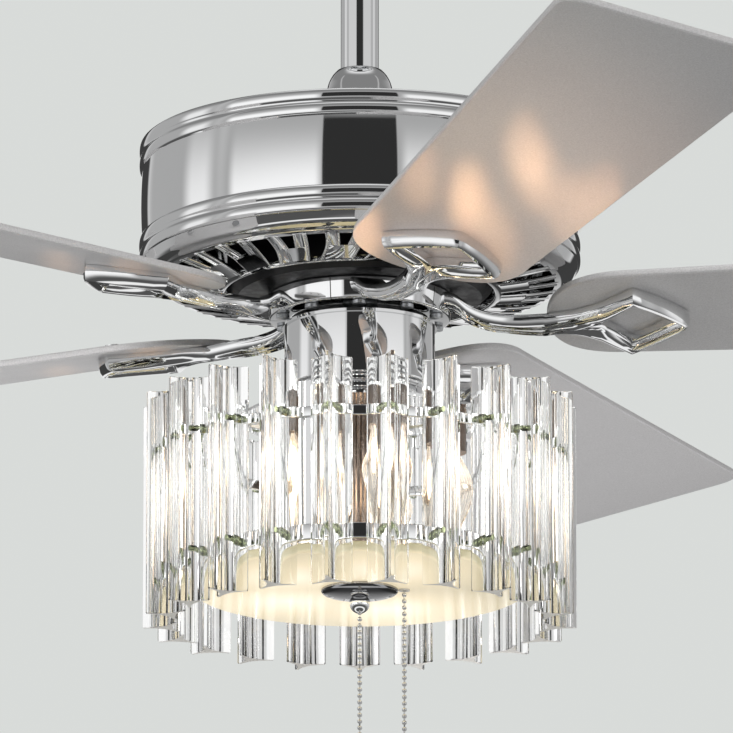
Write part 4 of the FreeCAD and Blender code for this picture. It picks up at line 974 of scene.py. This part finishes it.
def spot_light(name, aim, stand, power, width, stretch, colour):
    """A soft spot that throws a pool stretched towards the camera's side."""
    light = bpy.data.lights.new(name, "SPOT")
    light.energy = power
    light.color = colour
    light.spot_size = math.radians(width)
    light.spot_blend = 1.0
    light.shadow_soft_size = 0.008
    back = (stand - aim).normalized()
    across = Vector((0, 1, 0)).cross(back).normalized()
    turned = Matrix((across, back.cross(across), back)).transposed().to_4x4()
    hang_light(name, light, Matrix.Translation(stand) @ turned @ Matrix.Diagonal((1, stretch, 1, 1)))


def under_blade(number, along, across):
    """A spot on the underside of a blade."""
    return blade_heading(number) @ blade_plane @ Vector((along, across, -2.5)) * mm


pool_colour = (1.0, 0.58, 0.31)
fill_colour = (1.0, 0.52, 0.24)
day_colour = (1.0, 0.98, 0.99)
for number, spots in pool_spots.items():
    for order, (along, across, power) in enumerate(spots):
        aim = under_blade(number, along, across)
        stand = aim + Vector((0, 0, -0.16))
        spot_light("lamp_pool_%d_%d" % (number, order + 1), aim, stand, power, 11, 6.0, pool_colour)
aim = under_blade(1, 340, -15)
spot_light("warm_fill", aim, aim + Vector((0, 0, -0.5)), 4.0, 46, 1.6, fill_colour)
for number, power, aside in ((3, 52.0, 0.2), (4, 44.0, -0.3), (5, 20.0, -0.2)):
    aim = under_blade(number, 430, -10)
    spot_light("blade_fill_%d" % number, aim, aim + Vector((aside, -0.5, -1.4)), power, 30, 1.0, day_colour)


def add_math(tree, operation, first, second=None):
    """One sum of values in a node tree."""
    step = tree.nodes.new("ShaderNodeMath")
    step.operation = operation
    for socket, value in zip(step.inputs, (first, second)):
        if isinstance(value, float):
            socket.default_value = value
        elif value is not None:
            tree.links.new(value, socket)
    return step.outputs["Value"]


def make_room_window():
    """A soft-edged patch among a room's directions, in degrees: one inside it and nought outside."""
    group = bpy.data.node_groups.new("room_window", "ShaderNodeTree")
    add_sockets(group, "INPUT", "Azimuth", "Elevation", "Middle", "Half Width", "Side Blur", "Low", "High",
                "Edge Blur")
    add_sockets(group, "OUTPUT", "Mask")
    enter = group.nodes.new("NodeGroupInput")
    leave = group.nodes.new("NodeGroupOutput")

    def soft_step(value, middle, blur):
        """From nought to one about an edge."""
        edge, width = enter.outputs[middle], enter.outputs[blur]
        rise = group.nodes.new("ShaderNodeMapRange")
        rise.interpolation_type = "SMOOTHSTEP"
        group.links.new(value, rise.inputs["Value"])
        group.links.new(add_math(group, "SUBTRACT", edge, width), rise.inputs["From Min"])
        group.links.new(add_math(group, "ADD", edge, width), rise.inputs["From Max"])
        return rise.outputs["Result"]

    aside = add_math(group, "SUBTRACT", enter.outputs["Azimuth"], enter.outputs["Middle"])
    outside = soft_step(add_math(group, "ABSOLUTE", aside), "Half Width", "Side Blur")
    above = soft_step(enter.outputs["Elevation"], "High", "Edge Blur")
    within = soft_step(enter.outputs["Elevation"], "Low", "Edge Blur")
    upright = add_math(group, "SUBTRACT", within, add_math(group, "MINIMUM", within, above))
    beside = add_math(group, "MULTIPLY", upright, outside)
    group.links.new(add_math(group, "SUBTRACT", upright, beside), leave.inputs["Mask"])
    return group


room_window = make_room_window()
world = bpy.data.worlds.new("pale_room")
bpy.context.scene.world = world
world.use_nodes = True
sky = world.node_tree
ground = sky.nodes["Background"]
way = sky.nodes.new("ShaderNodeTexCoord")
way_parts = sky.nodes.new("ShaderNodeSeparateXYZ")
sky.links.new(way.outputs["Generated"], way_parts.inputs["Vector"])
towards = add_math(sky, "MULTIPLY", way_parts.outputs["Y"], -1.0)
around = add_math(sky, "DEGREES", add_math(sky, "ARCTAN2", way_parts.outputs["X"], towards))
both_sides = add_math(sky, "ABSOLUTE", around)
height_way = add_math(sky, "DEGREES", add_math(sky, "ARCSINE", way_parts.outputs["Z"]))
# Each window: its azimuth, middle, half width, blur, lowest and highest elevation, blur and brightness
windows = [(both_sides, 0, 190, 1, 30, 60, 7, 0.24), (both_sides, 0, 190, 1, 64, 100, 6, 0.85),
           (both_sides, 0, 190, 1, -100, -20, 9, 0.09), (both_sides, 0, 190, 1, -57, -43, 3, 0.95),
           (around, -46, 25, 3, -12, 15, 9, 1.05), (around, -94, 9, 5, -14, 18, 9, 0.92),
           (around, 47, 24, 3, -12, 15, 9, 1.0), (around, 96, 9, 5, -14, 18, 9, 0.85),
           (both_sides, 190, 42, 9, -8, 34, 8, 0.85), (both_sides, 160, 11, 2, -40, 60, 6, 0.05),
           (both_sides, 78, 3, 3, -20, 50, 4, 0.5), (both_sides, 0, 19.5, 0.5, -4, 24, 0.8, 0.03)]
# The dark slits between the windows that draw fine lines through the crystal
slits = [(both_sides, middle, 2.4, 0.4, -30, 60, 6, 0.0) for middle in (12, 41, 84, 128, 163)]


def room_level(level, patches):
    """How bright the room is in each direction, from a plain level and the patches laid over it."""
    for source, middle, half, side_blur, low, high, edge_blur, brightness in patches:
        window = sky.nodes.new("ShaderNodeGroup")
        window.node_tree = room_window
        sky.links.new(source, window.inputs["Azimuth"])
        sky.links.new(height_way, window.inputs["Elevation"])
        for name, value in (("Middle", middle), ("Half Width", half), ("Side Blur", side_blur), ("Low", low),
                            ("High", high), ("Edge Blur", edge_blur)):
            window.inputs[name].default_value = value
        blend = sky.nodes.new("ShaderNodeMix")
        blend.data_type = "FLOAT"
        sky.links.new(window.outputs["Mask"], blend.inputs["Factor"])
        if isinstance(level, float):
            blend.inputs["A"].default_value = level
        else:
            sky.links.new(level, blend.inputs["A"])
        blend.inputs["B"].default_value = brightness
        level = blend.outputs["Result"]
    return level


# The room's plain level, the brighter one that is seen through glass, and that one's share there
plain_level = 0.42
glass_level = 1.12
glass_share = 0.58
seen = sky.nodes.new("ShaderNodeLightPath")
through_glass = sky.nodes.new("ShaderNodeMix")
through_glass.data_type = "FLOAT"
in_glass = add_math(sky, "MULTIPLY", seen.outputs["Is Transmission Ray"], glass_share)
sky.links.new(room_level(plain_level, windows), through_glass.inputs["A"])
sky.links.new(room_level(glass_level, slits), through_glass.inputs["B"])
sky.links.new(in_glass, through_glass.inputs["Factor"])
tone = sky.nodes.new("ShaderNodeMix")
tone.data_type = "RGBA"
tone.inputs["B"].default_value = (0.69, 0.71, 0.695, 1)
sky.links.new(through_glass.outputs["Result"], tone.inputs["A"])
sky.links.new(seen.outputs["Is Camera Ray"], tone.inputs["Factor"])
sky.links.new(tone.outputs["Result"], ground.inputs["Color"])
ground.inputs["Strength"].default_value = 1.0

camera_data = bpy.data.cameras.new("camera")
camera_data.lens = 486.86
camera_data.sensor_width = 36.0
camera_data.clip_end = 200.0
camera = bpy.data.objects.new("camera", camera_data)
camera.location = (0.0, -6.5, -2.03224)
camera.rotation_euler = (math.radians(104.3973), 0.0, math.radians(-0.04035))
bpy.context.scene.collection.objects.link(camera)
bpy.context.scene.camera = camera
bpy.context.scene.view_settings.view_transform = "Standard"
